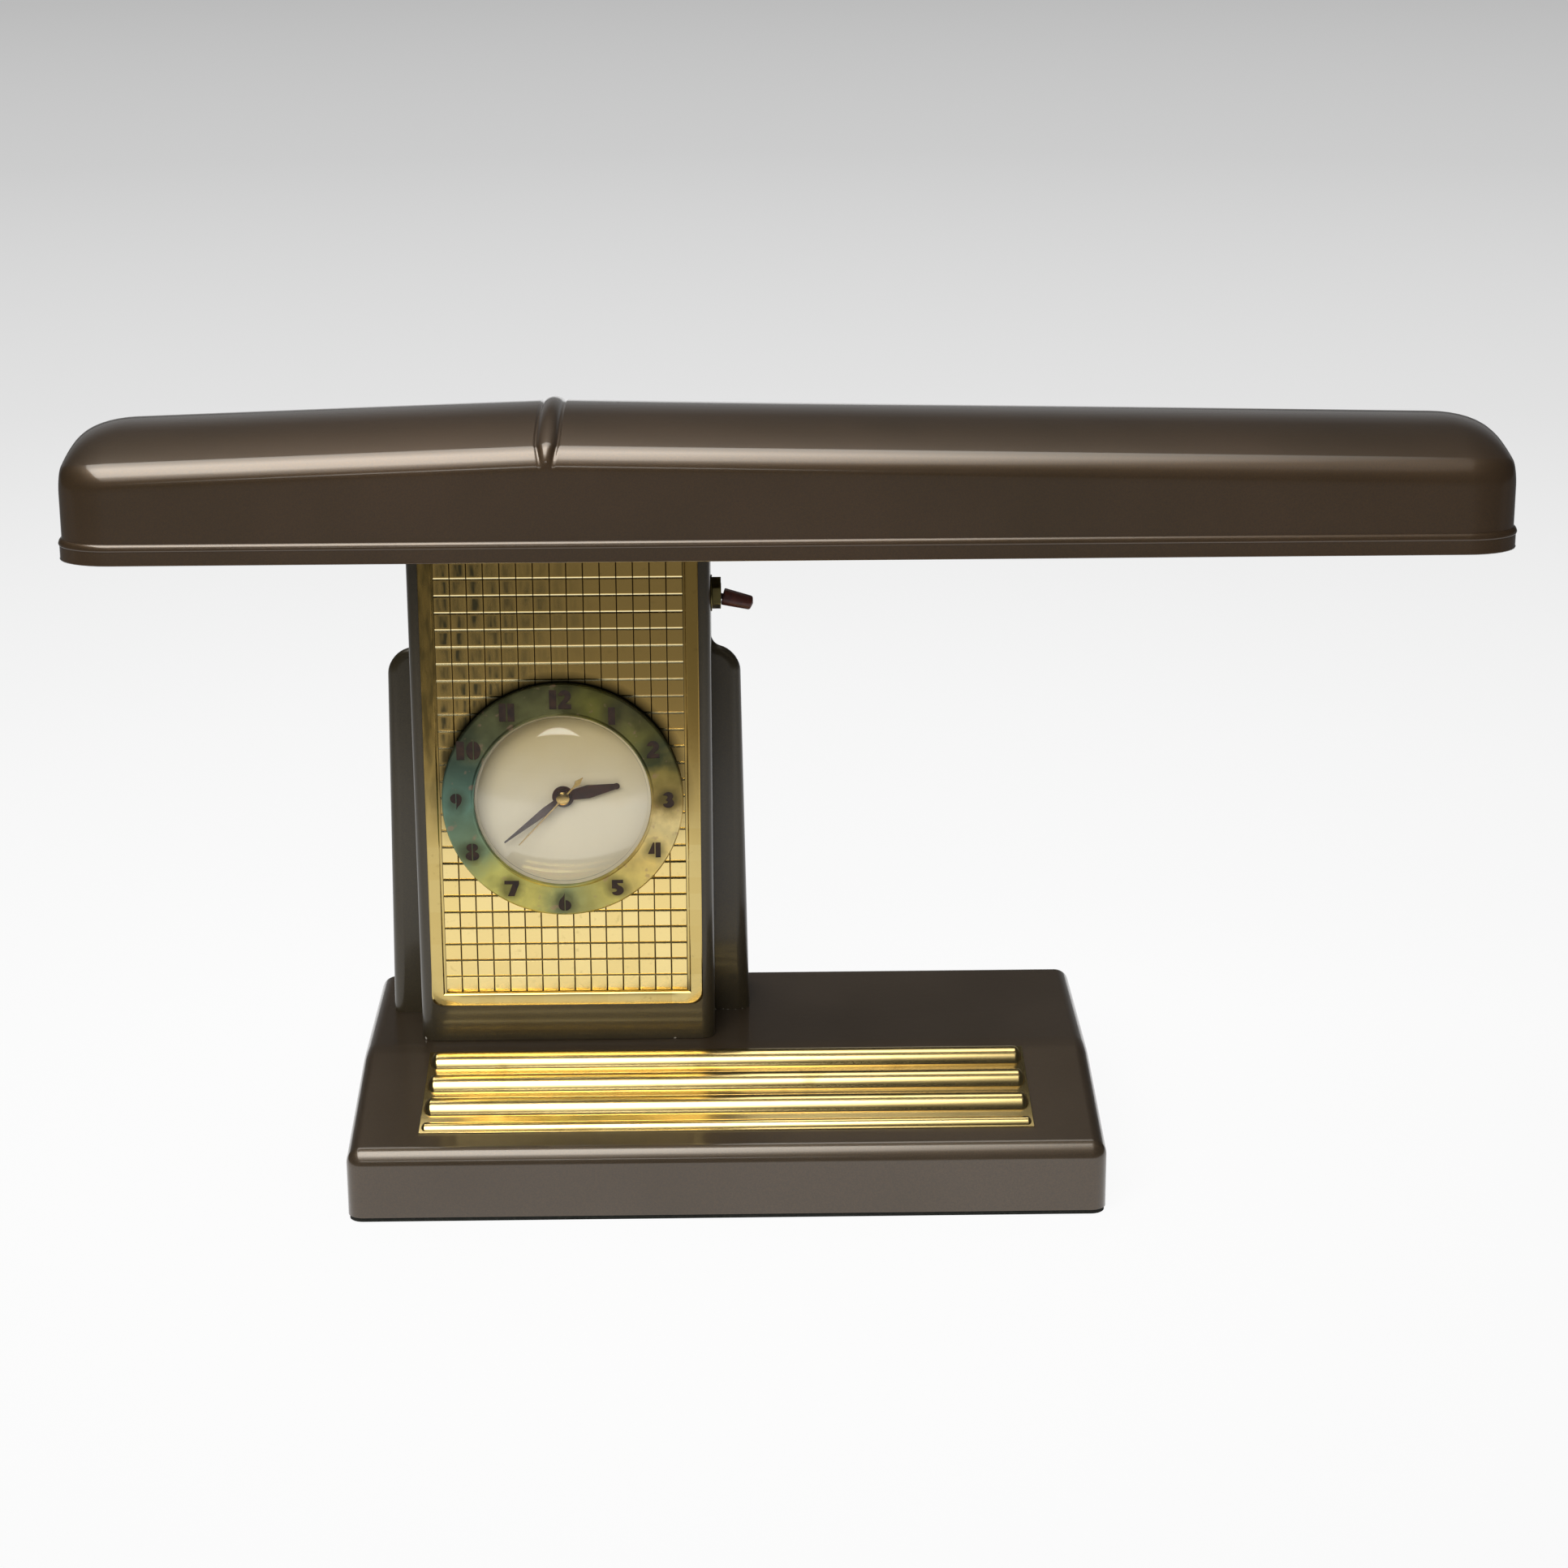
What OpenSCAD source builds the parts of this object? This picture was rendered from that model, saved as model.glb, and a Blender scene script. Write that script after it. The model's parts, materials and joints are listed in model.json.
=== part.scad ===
// Desk lamp with a built-in clock: a long pressed shade over a clock column on a wide base.
// X runs to the right seen from the dial side, Y runs to the back and Z runs up.
// The origin is the centre of the base on the surface that the lamp stands on.

/* [Base] */
// Width of the base
base_w = 268.9; // [240:0.1:300]
// Depth of the base
base_d = 156.4; // [148:0.1:166]
// Height of the front face of the base
base_front_h = 25.8; // [22:0.1:30]
// Height of the flat rear part of the base
base_rear_h = 36.8; // [34:0.1:42]
// Depth of the flat rear part, from the back edge to the bend
base_flat_d = 82; // [78:0.1:86]
// Radius of the outer edges of the base
base_edge_r = 5.5; // [3:0.1:6.5]
// Thickness of the base shell
base_wall = 1.6; // [1.2:0.1:2.2]
// Thickness of the felt under the base
felt_t = 1.5; // [1:0.1:2.5]
// Thickness of the bottom plate
plate_t = 1.2; // [0.8:0.1:2]
// Gap between the bottom plate and the shell round it
plate_gap = 0.3; // [0.1:0.1:0.6]
// Height of the shell's lower edge above the table
shell_lift = 0.8; // [0.4:0.1:1.2]
// Distance of the plate screws from the outline of the base
plate_screw_inset = 14; // [11:0.5:18]

/* [Base trim] */
// Width of the ribbed brass trim
trim_w = 219; // [180:1:230]
// Depth of the ribbed brass trim along the slope
trim_d = 57.5; // [55:0.5:60]
// Thickness of the trim sheet
trim_t = 0.8; // [0.5:0.1:1.2]
// Distance from the bend to the trim, along the slope
trim_back_gap = 4; // [2:0.5:6]
// Corner radius of the trim
trim_r = 6; // [3:0.5:8]
// Number of full ribs
rib_count = 3; // [2:1:3]
// Distance between ribs
rib_pitch = 16.5; // [15.5:0.1:17.5]
// Width of a rib
rib_w = 13; // [10:0.5:14]
// Height of a rib above the sheet
rib_h = 2.4; // [1.5:0.1:3]
// Width of the narrow lip in front of the ribs
lip_w = 5.5; // [4:0.5:6.5]

/* [Column] */
// Distance of the column's centre to the left of the base's centre
column_offset = 58.7; // [50:0.1:62]
// Width of the column's front body
column_w = 109.1; // [104:0.1:116]
// Depth of the column's front body
column_front_d = 30.25; // [29:0.05:30.5]
// Position of the front face behind the base's centre
column_front_y = 2.75; // [1:0.05:3]
// Radius of the column's front edges
column_edge_r = 5; // [3:0.1:7]
// Sheet thickness of the column
column_wall = 1.5; // [1.2:0.1:2]
// Width of the back cover at the base
wing_bottom_w = 135.2; // [130:0.1:140]
// Width of the back cover at its shoulders
wing_top_w = 130.4; // [127:0.1:132]
// Height of the shoulders
shoulder_z = 179.5; // [170:0.5:186]
// Radius of the shoulders
shoulder_r = 10; // [7:0.5:11]
// Angle at which the shoulders fall towards the back
shoulder_fall = 17; // [14:1:20]
// Radius of the back cover's front edges
cover_edge_r = 4.4; // [3:0.1:6]
// Radius of the hollow above the shoulders
hollow_r = 4.5; // [3:0.5:6]
// Depth of the back cover
column_back_d = 33; // [31:0.5:36]
// Radius of the back cover's top edge
roof_r = 10; // [6:1:14]
// Gap between the top of the back cover and the rim of the shade
roof_gap = 2.3; // [1.5:0.1:4]
// Height that the front body reaches into the shade
column_into_shade = 6; // [4:0.5:8]
// Height of the closed strip at the back of the front body, inside the shade
back_strip_h = 12; // [10:0.5:14]
// Number of cooling slots in the back cover
vent_count = 6; // [3:1:7]
// Length of a cooling slot
vent_l = 60; // [40:1:80]
// Width of a cooling slot
vent_w = 3; // [2:0.1:3.5]
// Radius of the posts that the back cover is screwed to
post_r = 3; // [2.5:0.1:3.5]
// Distance of the lower posts from the column's centre
post_low_x = 46; // [44:0.5:46.5]
// Distance of the lower posts below the dial's centre
post_drop = 43; // [41.5:0.5:50]
// Distance of the upper posts from the column's centre
post_high_x = 22; // [14:0.5:26]

/* [Brass panel] */
// Width of the brass panel
panel_w = 100.4; // [96:0.1:101]
// Height of the panel's lower edge above the table
panel_z = 51; // [46:0.5:54]
// Height of the panel
panel_h = 181; // [176:0.5:182]
// Thickness of the panel sheet
panel_t = 0.7; // [0.5:0.1:1]
// Height of the embossed tiles
tile_h = 0.5; // [0.3:0.1:0.7]
// Width of the plain border
panel_border = 5.5; // [4.5:0.1:7]
// Number of tile columns
tile_columns = 15; // [10:1:18]
// Number of tile rows
tile_rows = 27; // [20:1:30]
// Width of the groove between tiles
tile_groove = 0.9; // [0.6:0.1:1.2]
// Corner radius of the panel
panel_r = 3.8; // [2:0.1:5]

/* [Clock] */
// Height of the dial's centre above the table
clock_z = 131.2; // [128:0.1:134]
// Outer radius of the numeral ring
ring_r = 44; // [43:0.1:45]
// Radius of the visible dial
dial_open_r = 32.2; // [30:0.1:34]
// Distance from the ring's face to the column's front face
ring_front = 4; // [3.6:0.1:4.6]
// Thickness of the ring's lip in front of the crystal
ring_lip_t = 1.45; // [1.2:0.05:1.6]
// Radius of the ring's rounded outer edge
ring_edge_r = 0.9; // [0.5:0.1:1.2]
// Inner radius of the ring's skirt, which holds the clock case
skirt_r = 38.6; // [37.5:0.1:39.2]
// Wall of the skirt
skirt_wall = 0.8; // [0.6:0.1:1]
// Length of the skirt behind the column's front face
skirt_l = 6.3; // [5.6:0.1:7]
// Height of the crystal's dome
dome_h = 6.5; // [5:0.1:8]
// Thickness of the crystal
crystal_t = 1.2; // [1:0.1:1.4]
// Thickness of the ring that holds the crystal
retainer_t = 1; // [0.6:0.1:1.2]
// Thickness of the dial sheet
dial_t = 0.6; // [0.4:0.1:0.8]
// Wall of the clock case
case_wall = 0.8; // [0.6:0.1:1]
// Depth of the clock case behind the dial
case_d = 38; // [37:0.5:40]
// Length of the hour hand
hour_hand_l = 21; // [16:0.5:24]
// Length of the minute hand
minute_hand_l = 27.5; // [22:0.5:29]
// Length of the second hand
second_hand_l = 24; // [20:0.5:28]
// Thickness of a hand
hand_t = 0.5; // [0.3:0.05:0.6]
// Direction of the hour hand, clockwise from twelve
hour_angle = 79; // [0:1:360]
// Direction of the minute hand, clockwise from twelve
minute_angle = 232; // [0:1:360]
// Direction of the second hand, clockwise from twelve
second_angle = 223; // [0:1:360]
// Tooth size of the motion work, as its module
gear_m = 0.6; // [0.58:0.01:0.62]
// Width of a gear face
gear_t = 1; // [0.8:0.1:1.2]
// Gap between two wheels, and between a wheel and its plate
wheel_gap = 1.2; // [1:0.1:1.3]
// Gap between two hands
hand_gap = 0.8; // [0.6:0.1:1]
// Radius of the second arbor
arbor_r = 0.9; // [0.8:0.05:0.95]
// Wall of the cannon pinion's tube
cannon_wall = 1.2; // [1.1:0.05:1.2]
// Wall of the hour wheel's pipe
pipe_wall = 0.8; // [0.7:0.05:0.85]
// Running clearance of a shaft in its hole
shaft_gap = 0.05; // [0.03:0.01:0.09]
// Side of the movement's plates
movement_w = 52; // [50:0.5:53]
// Thickness of the movement's plates
movement_plate_t = 1.2; // [1:0.1:1.4]
// Distance between the movement's plates
movement_gap = 10.2; // [9:0.1:11]
// Radius of the rotor can
rotor_r = 9.5; // [8:0.1:9.8]
// Radius of the set knob on the back
set_knob_r = 7; // [5:0.5:9]
// Length of the set knob
set_knob_l = 9; // [6:0.5:12]

/* [Switch] */
// Height of the switch above the table
switch_z = 204; // [200:0.1:206]
// Distance of the switch behind the column's front face
switch_depth = 15.2; // [14.5:0.1:16]
// Radius of the switch washer
washer_r = 6.65; // [6:0.05:7]
// Thickness of the switch washer
washer_t = 0.6; // [0.4:0.1:0.8]
// Half the width of the nut over its corners
nut_r = 6; // [5.2:0.1:6.3]
// Thickness of the switch nut
nut_t = 3.2; // [2.6:0.1:3.4]
// Radius of the switch's threaded neck
bushing_r = 3.6; // [3.4:0.1:3.8]
// Length of the lever's handle
lever_l = 10.6; // [8:0.1:12]
// Thickness of the handle at its root
lever_root_d = 6.4; // [5:0.1:6.6]
// Thickness of the handle at its tip
lever_tip_d = 5.3; // [4:0.1:5.8]
// Radius of the pin that the lever turns on
lever_pin_r = 0.7; // [0.6:0.05:0.75]
// Angle of the lever below level at rest
lever_angle = 14; // [12:0.5:14]

/* [Shade] */
// Length of the shade over its rim
shade_l = 500; // [494:0.5:506]
// Depth of the shade over its rim
shade_d = 96; // [95.5:0.1:98]
// Distance of the shade's centre to the right of the base's centre
shade_offset = 23.6; // [20:0.1:26]
// Overhang of the rim in front of the column's front face
shade_front = 62.75; // [62:0.05:63.5]
// Height of the rim above the table
rim_z = 234.3; // [234:0.1:240]
// Height of the rim band
rim_h = 7; // [5:0.1:9]
// Step of the rim band outside the wall
rim_step = 1.2; // [0.8:0.1:1.6]
// Sheet thickness of the shade
shade_wall = 1.2; // [1:0.1:1.4]
// Height of the shade over its rim at the column
ridge_h = 44.1; // [43:0.1:47]
// Height of the shade over its rim at the left end
left_h = 38.5; // [38:0.1:41]
// Height of the shade over its rim at the right end
right_h = 37; // [36.8:0.1:40]
// Radius of the crowned top
crown_r = 165; // [150:1:220]
// Radius of the long shoulders
long_edge_r = 8.4; // [7:0.1:10]
// Length of the end rounding
end_round_l = 17.6; // [14:0.1:20]
// Sideways rounding of the ends in plan
end_round_d = 13; // [11:0.1:15]
// Height of the end rounding
end_round_h = 6.4; // [5:0.1:8]
// Width of the raised rib over the column
band_w = 4.6; // [3:0.1:6]
// Height of the raised rib over the column
band_h = 1.2; // [0.8:0.1:1.6]

/* [Lamp] */
// Length of the tube between the faces of its caps
tube_l = 436.6; // [430:0.1:440]
// Diameter of the tube
tube_d = 25.4; // [24:0.1:26]
// Height of the tube's axis above the rim
tube_rise = 15.2; // [14.5:0.1:15.5]
// Distance of the tube's axis in front of the shade's centre line
tube_forward = 10; // [9:0.1:11]
// Length of a tube cap
cap_l = 18; // [14:0.5:22]
// Distance between the two pins of a cap
pin_pitch = 12.7; // [12.5:0.1:12.9]
// Diameter of a pin
pin_d = 2.3; // [2.1:0.1:2.5]
// Length of a pin
pin_l = 7; // [6:0.1:7.6]
// Thickness of a lampholder
holder_t = 13; // [11:0.5:14]
// Clearance of a pin in its lampholder
pin_gap = 0.4; // [0.3:0.05:0.5]
// Sheet thickness of the reflector
reflector_t = 0.6; // [0.4:0.1:0.8]
// Width of the reflector's flat top
reflector_top_d = 34; // [30:0.5:36]
// Distance that the reflector's sides spread
reflector_spread = 10; // [6:0.5:11]
// Height of the reflector's sides
reflector_side_h = 19; // [14:0.5:20]
// Radius of the starter
starter_r = 10.4; // [9.5:0.1:10.6]
// Length of the starter
starter_l = 35; // [30:0.5:38]

/* [Ballast] */
// Length of the ballast's can
ballast_l = 100; // [90:1:104]
// Depth of the ballast's can
ballast_d = 27; // [22:0.5:27.5]
// Height of the ballast's can
ballast_h = 40; // [34:0.5:42]
// Length of the ballast's foot plate
ballast_foot_l = 120; // [112:1:122]

/* [Cord inlet] */
// Radius of the bore for the cord
cord_bore_r = 3.2; // [2.8:0.1:3.6]
// Radius of the grommet's neck
grommet_neck_r = 5.4; // [5:0.1:5.8]
// Radius of the grommet's flanges
grommet_flange_r = 7.5; // [7:0.1:8.2]
// Thickness of a grommet flange
grommet_flange_t = 2; // [1.5:0.1:2.4]
// Height of the cord inlet above the table
inlet_z = 17; // [15:0.5:20]

/* [Fasteners] */
// Radius of a small screw
screw_r = 1.5; // [1.4:0.05:1.6]
// Radius of a small screw's head
screw_head_r = 2.9; // [2.6:0.1:3.2]
// Height of a small screw's head
screw_head_h = 1.2; // [1:0.1:1.4]
// Radial clearance of a screw in its hole
screw_gap = 0.15; // [0.1:0.05:0.3]

/* [Hidden] */
$fn = 64;
hull_fn = 32;
cut = 1;
touch = 0.02;

enamel = "#4a3c33";
brass = "#c9a84e";
dark_brass = "#8f7a3e";
steel = "#9a9a96";
white = "#e8e6dc";
bakelite = "#5e2418";
black = "#1e1d1b";

base_back_y = base_d / 2;
base_bend_y = base_back_y - base_flat_d;
slope_d = base_d - base_flat_d;
slope_angle = atan((base_rear_h - base_front_h) / slope_d);
plate_top = felt_t + plate_t;
column_x = -column_offset;
column_back_y = column_front_y + column_front_d;
cover_back_y = column_back_y + column_back_d;
edge_y = column_back_y + cover_edge_r;
wing_lean = (wing_bottom_w - wing_top_w) / 2 / (shoulder_z - shoulder_r - base_rear_h);
hollow_x = column_w / 2 + hollow_r - 3 * touch;
hollow_angle = acos((hollow_x - wing_top_w / 2 + shoulder_r) / (shoulder_r + hollow_r));
hollow_step = 12;
hollow_z = shoulder_z - shoulder_r + (shoulder_r + hollow_r) * sin(hollow_angle);
column_right = column_x + column_w / 2;
column_top = rim_z + column_into_shade;
roof_z = rim_z - roof_gap;
post_low_z = clock_z - post_drop;
post_high_z = roof_z - roof_r - post_r - 1;
post_front_y = column_front_y + column_wall;
post_back_y = cover_back_y - column_wall;
vent_z = base_rear_h + 12;
top_hole_r = 6;
boss_r = 4;
boss_hole_l = 10;
bottom_screw_l = 9;
bolt_head_r = 3.8;
bolt_nut_r = 4;
bolt_nut_t = 3;
small_nut_r = 2.9;
small_nut_t = 2;

ring_front_y = column_front_y - ring_front;
panel_front_y = column_front_y - panel_t;
tile_front_y = panel_front_y - tile_h;
ring_gap = 0.1;
opening_r = skirt_r + skirt_wall + ring_gap;
lip_back_y = ring_front_y + ring_lip_t;
skirt_back_y = column_front_y + skirt_l;
stud_ring_r = (opening_r + ring_r) / 2 + 0.25;
stud_r = 1.2;
stud_end = 6;
ring_nut_r = stud_ring_r - skirt_r - skirt_wall - ring_gap;
second_hand_y = lip_back_y + crystal_t + 0.6;
minute_hand_y = second_hand_y + hand_t + hand_gap;
hour_hand_y = minute_hand_y + hand_t + hand_gap;
dial_y = hour_hand_y + hand_t + 1.5;
case_front_y = dial_y + dial_t;
case_back_y = case_front_y + case_d;

cannon_bore = arbor_r + shaft_gap;
cannon_r = cannon_bore + cannon_wall;
pipe_bore = cannon_r + shaft_gap;
pipe_r = pipe_bore + pipe_wall;
hour_wheel_y = case_front_y + wheel_gap;
minute_wheel_y = hour_wheel_y + gear_t + wheel_gap;
front_plate_y = minute_wheel_y + gear_t + wheel_gap;
back_plate_y = front_plate_y + movement_plate_t + movement_gap;
hub_out = 0.2;
hub_wall = 1;
hour_tip_r = 1.2;
second_hub_r = 2.4;
cannon_teeth = 10;
minute_teeth = 30;
pinion_teeth = 8;
hour_teeth = 32;
gear_centres = gear_m * (cannon_teeth + minute_teeth) / 2;
minute_axis_z = clock_z - gear_centres;
set_turn = 120;
set_x = column_x + gear_centres * sin(set_turn);
set_z = minute_axis_z + gear_centres * cos(set_turn);
minute_stud_r = 0.8;
set_shaft_r = 1;
rotor_y = back_plate_y + movement_plate_t + 2;
rotor_l = 15;
core_y = rotor_y + 1.5;
core_d = 9;
core_half_w = 15;
core_low = 13;
core_top = 29;
core_bar = 7;
coil_half_w = 7.4;
coil_low = 15;
coil_high = 36;
coil_y = core_y - 2.5;
coil_d = core_d + 5;
pillar_at = movement_w / 2 - 5;
pillar_r = 2;
knob_y = cover_back_y + 0.5;

switch_y = column_front_y + switch_depth;
pivot_x = column_right - 0.85;
bushing_bore_r = bushing_r - 0.85;
bushing_end_x = column_right + washer_t + nut_t + 0.1;
lever_root = 6.2;
lever_pin_l = 2 * (bushing_r - 0.4);
switch_box_x = 20;
switch_box_y = 16;
switch_box_z = 26;

shade_y = column_front_y - shade_front + shade_d / 2;
wall_half_l = shade_l / 2 - rim_step;
wall_half_d = shade_d / 2 - rim_step;
tube_y = shade_y - tube_forward;
tube_z = rim_z + tube_rise;
tube_left = shade_offset - tube_l / 2;
tube_right = shade_offset + tube_l / 2;
holder_gap = 0.4;
holder_w = 24;
holder_low = tube_z - 13.5;
holder_high = tube_z + 14;
reflector_z = holder_high + 1;
reflector_l = tube_l + 2 * (holder_gap + holder_t + 4);
groove_in = pin_pitch / 2 - pin_d / 2 - pin_gap;
groove_out = pin_pitch / 2 + pin_d / 2 + pin_gap;
groove_depth = pin_l + holder_gap;
starter_x = column_right + 16;
starter_y = column_back_y - 14;
starter_z = rim_z + 17.5;
socket_t = 8;
bracket_half_w = 38;
bracket_front_y = column_front_y + 4;
bracket_d = 24;
bracket_t = 1.5;
bracket_screw_x = 26;
post_from_end = 10;
post_left = 60;
post_right = 110;
post_behind = 8;
post_hole_l = 2;
reflector_post_x = [tube_left + post_from_end, column_x - post_left, column_x + post_right,
    tube_right - post_from_end];
reflector_post_y = tube_y + post_behind;
reflector_post_r = 3;
holder_screw_y = 8;
holder_screw_z = holder_high - 5;
holder_sheet = 1;
holder_screw_l = 4;
starter_pin_y = 6.3;
starter_pin_r = 1.6;
starter_pin_l = 4;
ballast_t = 1.2;
ballast_y = cover_back_y - column_wall - ballast_d / 2 - 1.5;
wire_hole_r = 5;
wire_hole_y = column_back_y - 5;
foot_bolt_x = 40;
foot_bolt_y = column_front_y + 10;
foot_bolt_r = 2;
foot_flange_d = 18;

function arc(x, y, r, a0, a1, n) =
    [for (i = [0:n]) let (a = a0 + (a1 - a0) * i / n) [x + r * cos(a), y + r * sin(a)]];

// Height of the base's top surface at a depth
function base_top(y) = y > base_bend_y ? base_rear_h
    : base_rear_h - (base_bend_y - y) * tan(slope_angle);

// Height of the crest above the rim at a place along the shade
function crest(x) = x < column_x
    ? ridge_h + (left_h - ridge_h) * (column_x - x) / (column_x - shade_offset + wall_half_l)
    : ridge_h + (right_h - ridge_h) * (x - column_x) / (shade_offset + wall_half_l - column_x);

// Outline of a slice of the shade: straight walls, rounded shoulders and a crowned top
function slice(a, h, rc, rs, low) =
    let (phi = asin((a - rs) / (rc - rs)), z = h - rc + sqrt(pow(rc - rs, 2) - pow(a - rs, 2)))
    concat([[-a, low], [a, low]],
        arc(a - rs, z, rs, 0, 90 - phi, 4),
        arc(0, h - rc, rc, 90 - phi * 0.85, 90 + phi * 0.85, 8),
        arc(rs - a, z, rs, 90 + phi, 180, 4));

// Outline of the shade in plan, moved outwards by a distance
function shade_plan(out) =
    let (l = wall_half_l + out, d = wall_half_d + out,
        rx = end_round_l + out, ry = end_round_d + out)
    [for (k = [0:3]) for (i = [0:8])
        let (a = k * 90 + i * 11.25,
            sx = (k == 0 || k == 3) ? 1 : -1,
            sy = k < 2 ? 1 : -1)
        [shade_offset + sx * (l - rx) + rx * cos(a), shade_y + sy * (d - ry) + ry * sin(a)]];

// Outline of the wings seen from behind, moved inwards, with its shoulders lowered
function wing_outline(t, drop, low) =
    let (z = shoulder_z - shoulder_r - drop, r = shoulder_r - t,
        x = wing_bottom_w / 2 - wing_lean * (z - base_rear_h) - t,
        right = concat([[wing_bottom_w / 2 - t, low]], arc(x - r, z, r, 0, 90, 6)))
    concat(right, [for (i = [len(right) - 1:-1:0]) [-right[i][0], right[i][1]]]);

// Outline of a clock gear with radial flanks and thinned teeth
function gear_outline(n, turn) =
    let (r = gear_m * n / 2, root = r - gear_m * 1.15, tip = r + gear_m * 0.75, s = 90 / n)
    [for (i = [0:n - 1]) for (p = [[-1.0, root], [-0.78, r], [-0.28, tip], [0.28, tip],
        [0.78, r], [1.0, root]])
        let (a = turn + i * 360 / n + p[0] * s) [p[1] * sin(a), -p[1] * cos(a)]];

module along_y(y0, y1) {
    translate([0, y1, 0])
        rotate([90, 0, 0])
            linear_extrude(y1 - y0)
                children();
}

module rod_y(x, z, r, y0, y1) {
    translate([x, y0, z])
        rotate([-90, 0, 0])
            cylinder(r = r, h = y1 - y0);
}

module rod_x(y, z, r, x0, x1) {
    translate([x0, y, z])
        rotate([0, 90, 0])
            cylinder(r = r, h = x1 - x0);
}

module rod_z(r, z0, z1) {
    translate([0, 0, z0])
        cylinder(r = r, h = z1 - z0);
}

// Places its children on the dial's axis: their Z points to the back, their X to the right
module on_dial_axis(y) {
    translate([column_x, y, clock_z])
        rotate([-90, 0, 0])
            children();
}

module box(x0, x1, y0, y1, z0, z1) {
    translate([x0, y0, z0])
        cube([x1 - x0, y1 - y0, z1 - z0]);
}

module rounded_rect(w, d, r) {
    square([w - 2 * r, d], center = true);
    square([w, d - 2 * r], center = true);
    for (sx = [-1, 1], sy = [-1, 1])
        translate([sx * (w / 2 - r), sy * (d / 2 - r)])
            circle(r);
}

module base_body(inset, low) {
    r = base_edge_r - inset;
    hull() {
        for (sx = [-1, 1], y = [-base_back_y, base_bend_y, base_back_y]) {
            yc = y == base_bend_y ? y : y - sign(y) * base_edge_r;
            translate([sx * (base_w / 2 - base_edge_r), yc, low])
                cylinder(r = r, h = base_front_h / 2, $fn = hull_fn);
            translate([sx * (base_w / 2 - base_edge_r), yc, base_top(yc) - base_edge_r])
                sphere(r, $fn = hull_fn);
        }
    }
}

module at_plate_screws() {
    for (sx = [-1, 1], sy = [-1, 1])
        translate([sx * (base_w / 2 - plate_screw_inset), sy * (base_back_y - plate_screw_inset), 0])
            children();
}

module at_foot_bolts() {
    for (sx = [-1, 1])
        translate([column_x + sx * foot_bolt_x, foot_bolt_y, 0])
            children();
}

module at_ballast_screws() {
    for (sx = [-1, 1])
        translate([column_x + sx * (ballast_foot_l / 2 - 5), ballast_y, 0])
            children();
}

module base_shell() {
    color(enamel)
    difference() {
        union() {
            difference() {
                base_body(0, shell_lift);
                base_body(base_wall, shell_lift - cut);
            }
            for (sx = [-1, 1], sy = [-1, 1]) {
                y = sy * (base_back_y - plate_screw_inset);
                translate([sx * (base_w / 2 - plate_screw_inset), y, plate_top])
                    cylinder(r = boss_r, h = base_top(y) - plate_top - base_wall / 2);
            }
        }
        at_plate_screws()
            translate([0, 0, plate_top - cut])
                cylinder(r = screw_r + shaft_gap, h = boss_hole_l + cut);
        at_foot_bolts()
            rod_z(foot_bolt_r + screw_gap, base_rear_h - base_wall - cut, base_rear_h + cut);
        at_ballast_screws()
            rod_z(screw_r + screw_gap, base_rear_h - base_wall - cut, base_rear_h + cut);
        translate([column_x, wire_hole_y, 0])
            rod_z(wire_hole_r, base_rear_h - base_wall - cut, base_rear_h + cut);
        rod_y(column_x, inlet_z, grommet_neck_r, base_back_y - base_wall - cut, base_back_y + cut);
    }
}

module bottom_plate() {
    w = base_w - 2 * (base_wall + plate_gap);
    d = base_d - 2 * (base_wall + plate_gap);
    color(steel)
    difference() {
        translate([0, 0, felt_t])
            linear_extrude(plate_t)
                rounded_rect(w, d, base_edge_r);
        at_plate_screws()
            translate([0, 0, felt_t - cut])
                cylinder(r = screw_r + screw_gap, h = plate_t + 2 * cut);
    }
}

module felt_pad() {
    inset = base_wall + plate_gap + 1;
    color(black)
    difference() {
        linear_extrude(felt_t)
            rounded_rect(base_w - 2 * inset, base_d - 2 * inset, base_edge_r);
        at_plate_screws()
            translate([0, 0, -cut])
                cylinder(r = screw_head_r + 1, h = felt_t + 2 * cut);
    }
}

module bottom_screws() {
    color(steel)
    at_plate_screws() {
        translate([0, 0, felt_t - screw_head_h])
            cylinder(r = screw_head_r, h = screw_head_h);
        translate([0, 0, felt_t - touch])
            cylinder(r = screw_r, h = bottom_screw_l);
    }
}

// A rib of the trim: a low segment of a circle with rounded ends
module trim_rib(l, w, h) {
    big_r = (w * w / 4 + h * h) / (2 * h);
    half = asin(w / 2 / big_r);
    cap = concat([[0, 0]], [for (i = [0:8])
        let (a = 90 - half + half * i / 8) [big_r * cos(a), h - big_r + big_r * sin(a)]]);
    whole = arc(0, h - big_r, big_r, 90 - half, 90 + half, 16);
    translate([-l / 2 + w / 2, 0, 0])
        rotate([90, 0, 90])
            linear_extrude(l - w)
                polygon(whole);
    for (s = [-1, 1])
        translate([s * (l / 2 - w / 2), 0, 0])
            rotate([0, 0, s > 0 ? -90 : 90])
                rotate_extrude(angle = 180)
                    polygon(cap);
}

// Places its children on the sloping face: their origin is at the bend, Y runs up the slope
module on_slope() {
    translate([0, base_bend_y, base_rear_h + base_edge_r * (1 / cos(slope_angle) - 1)])
        rotate([slope_angle, 0, 0])
            children();
}

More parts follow.
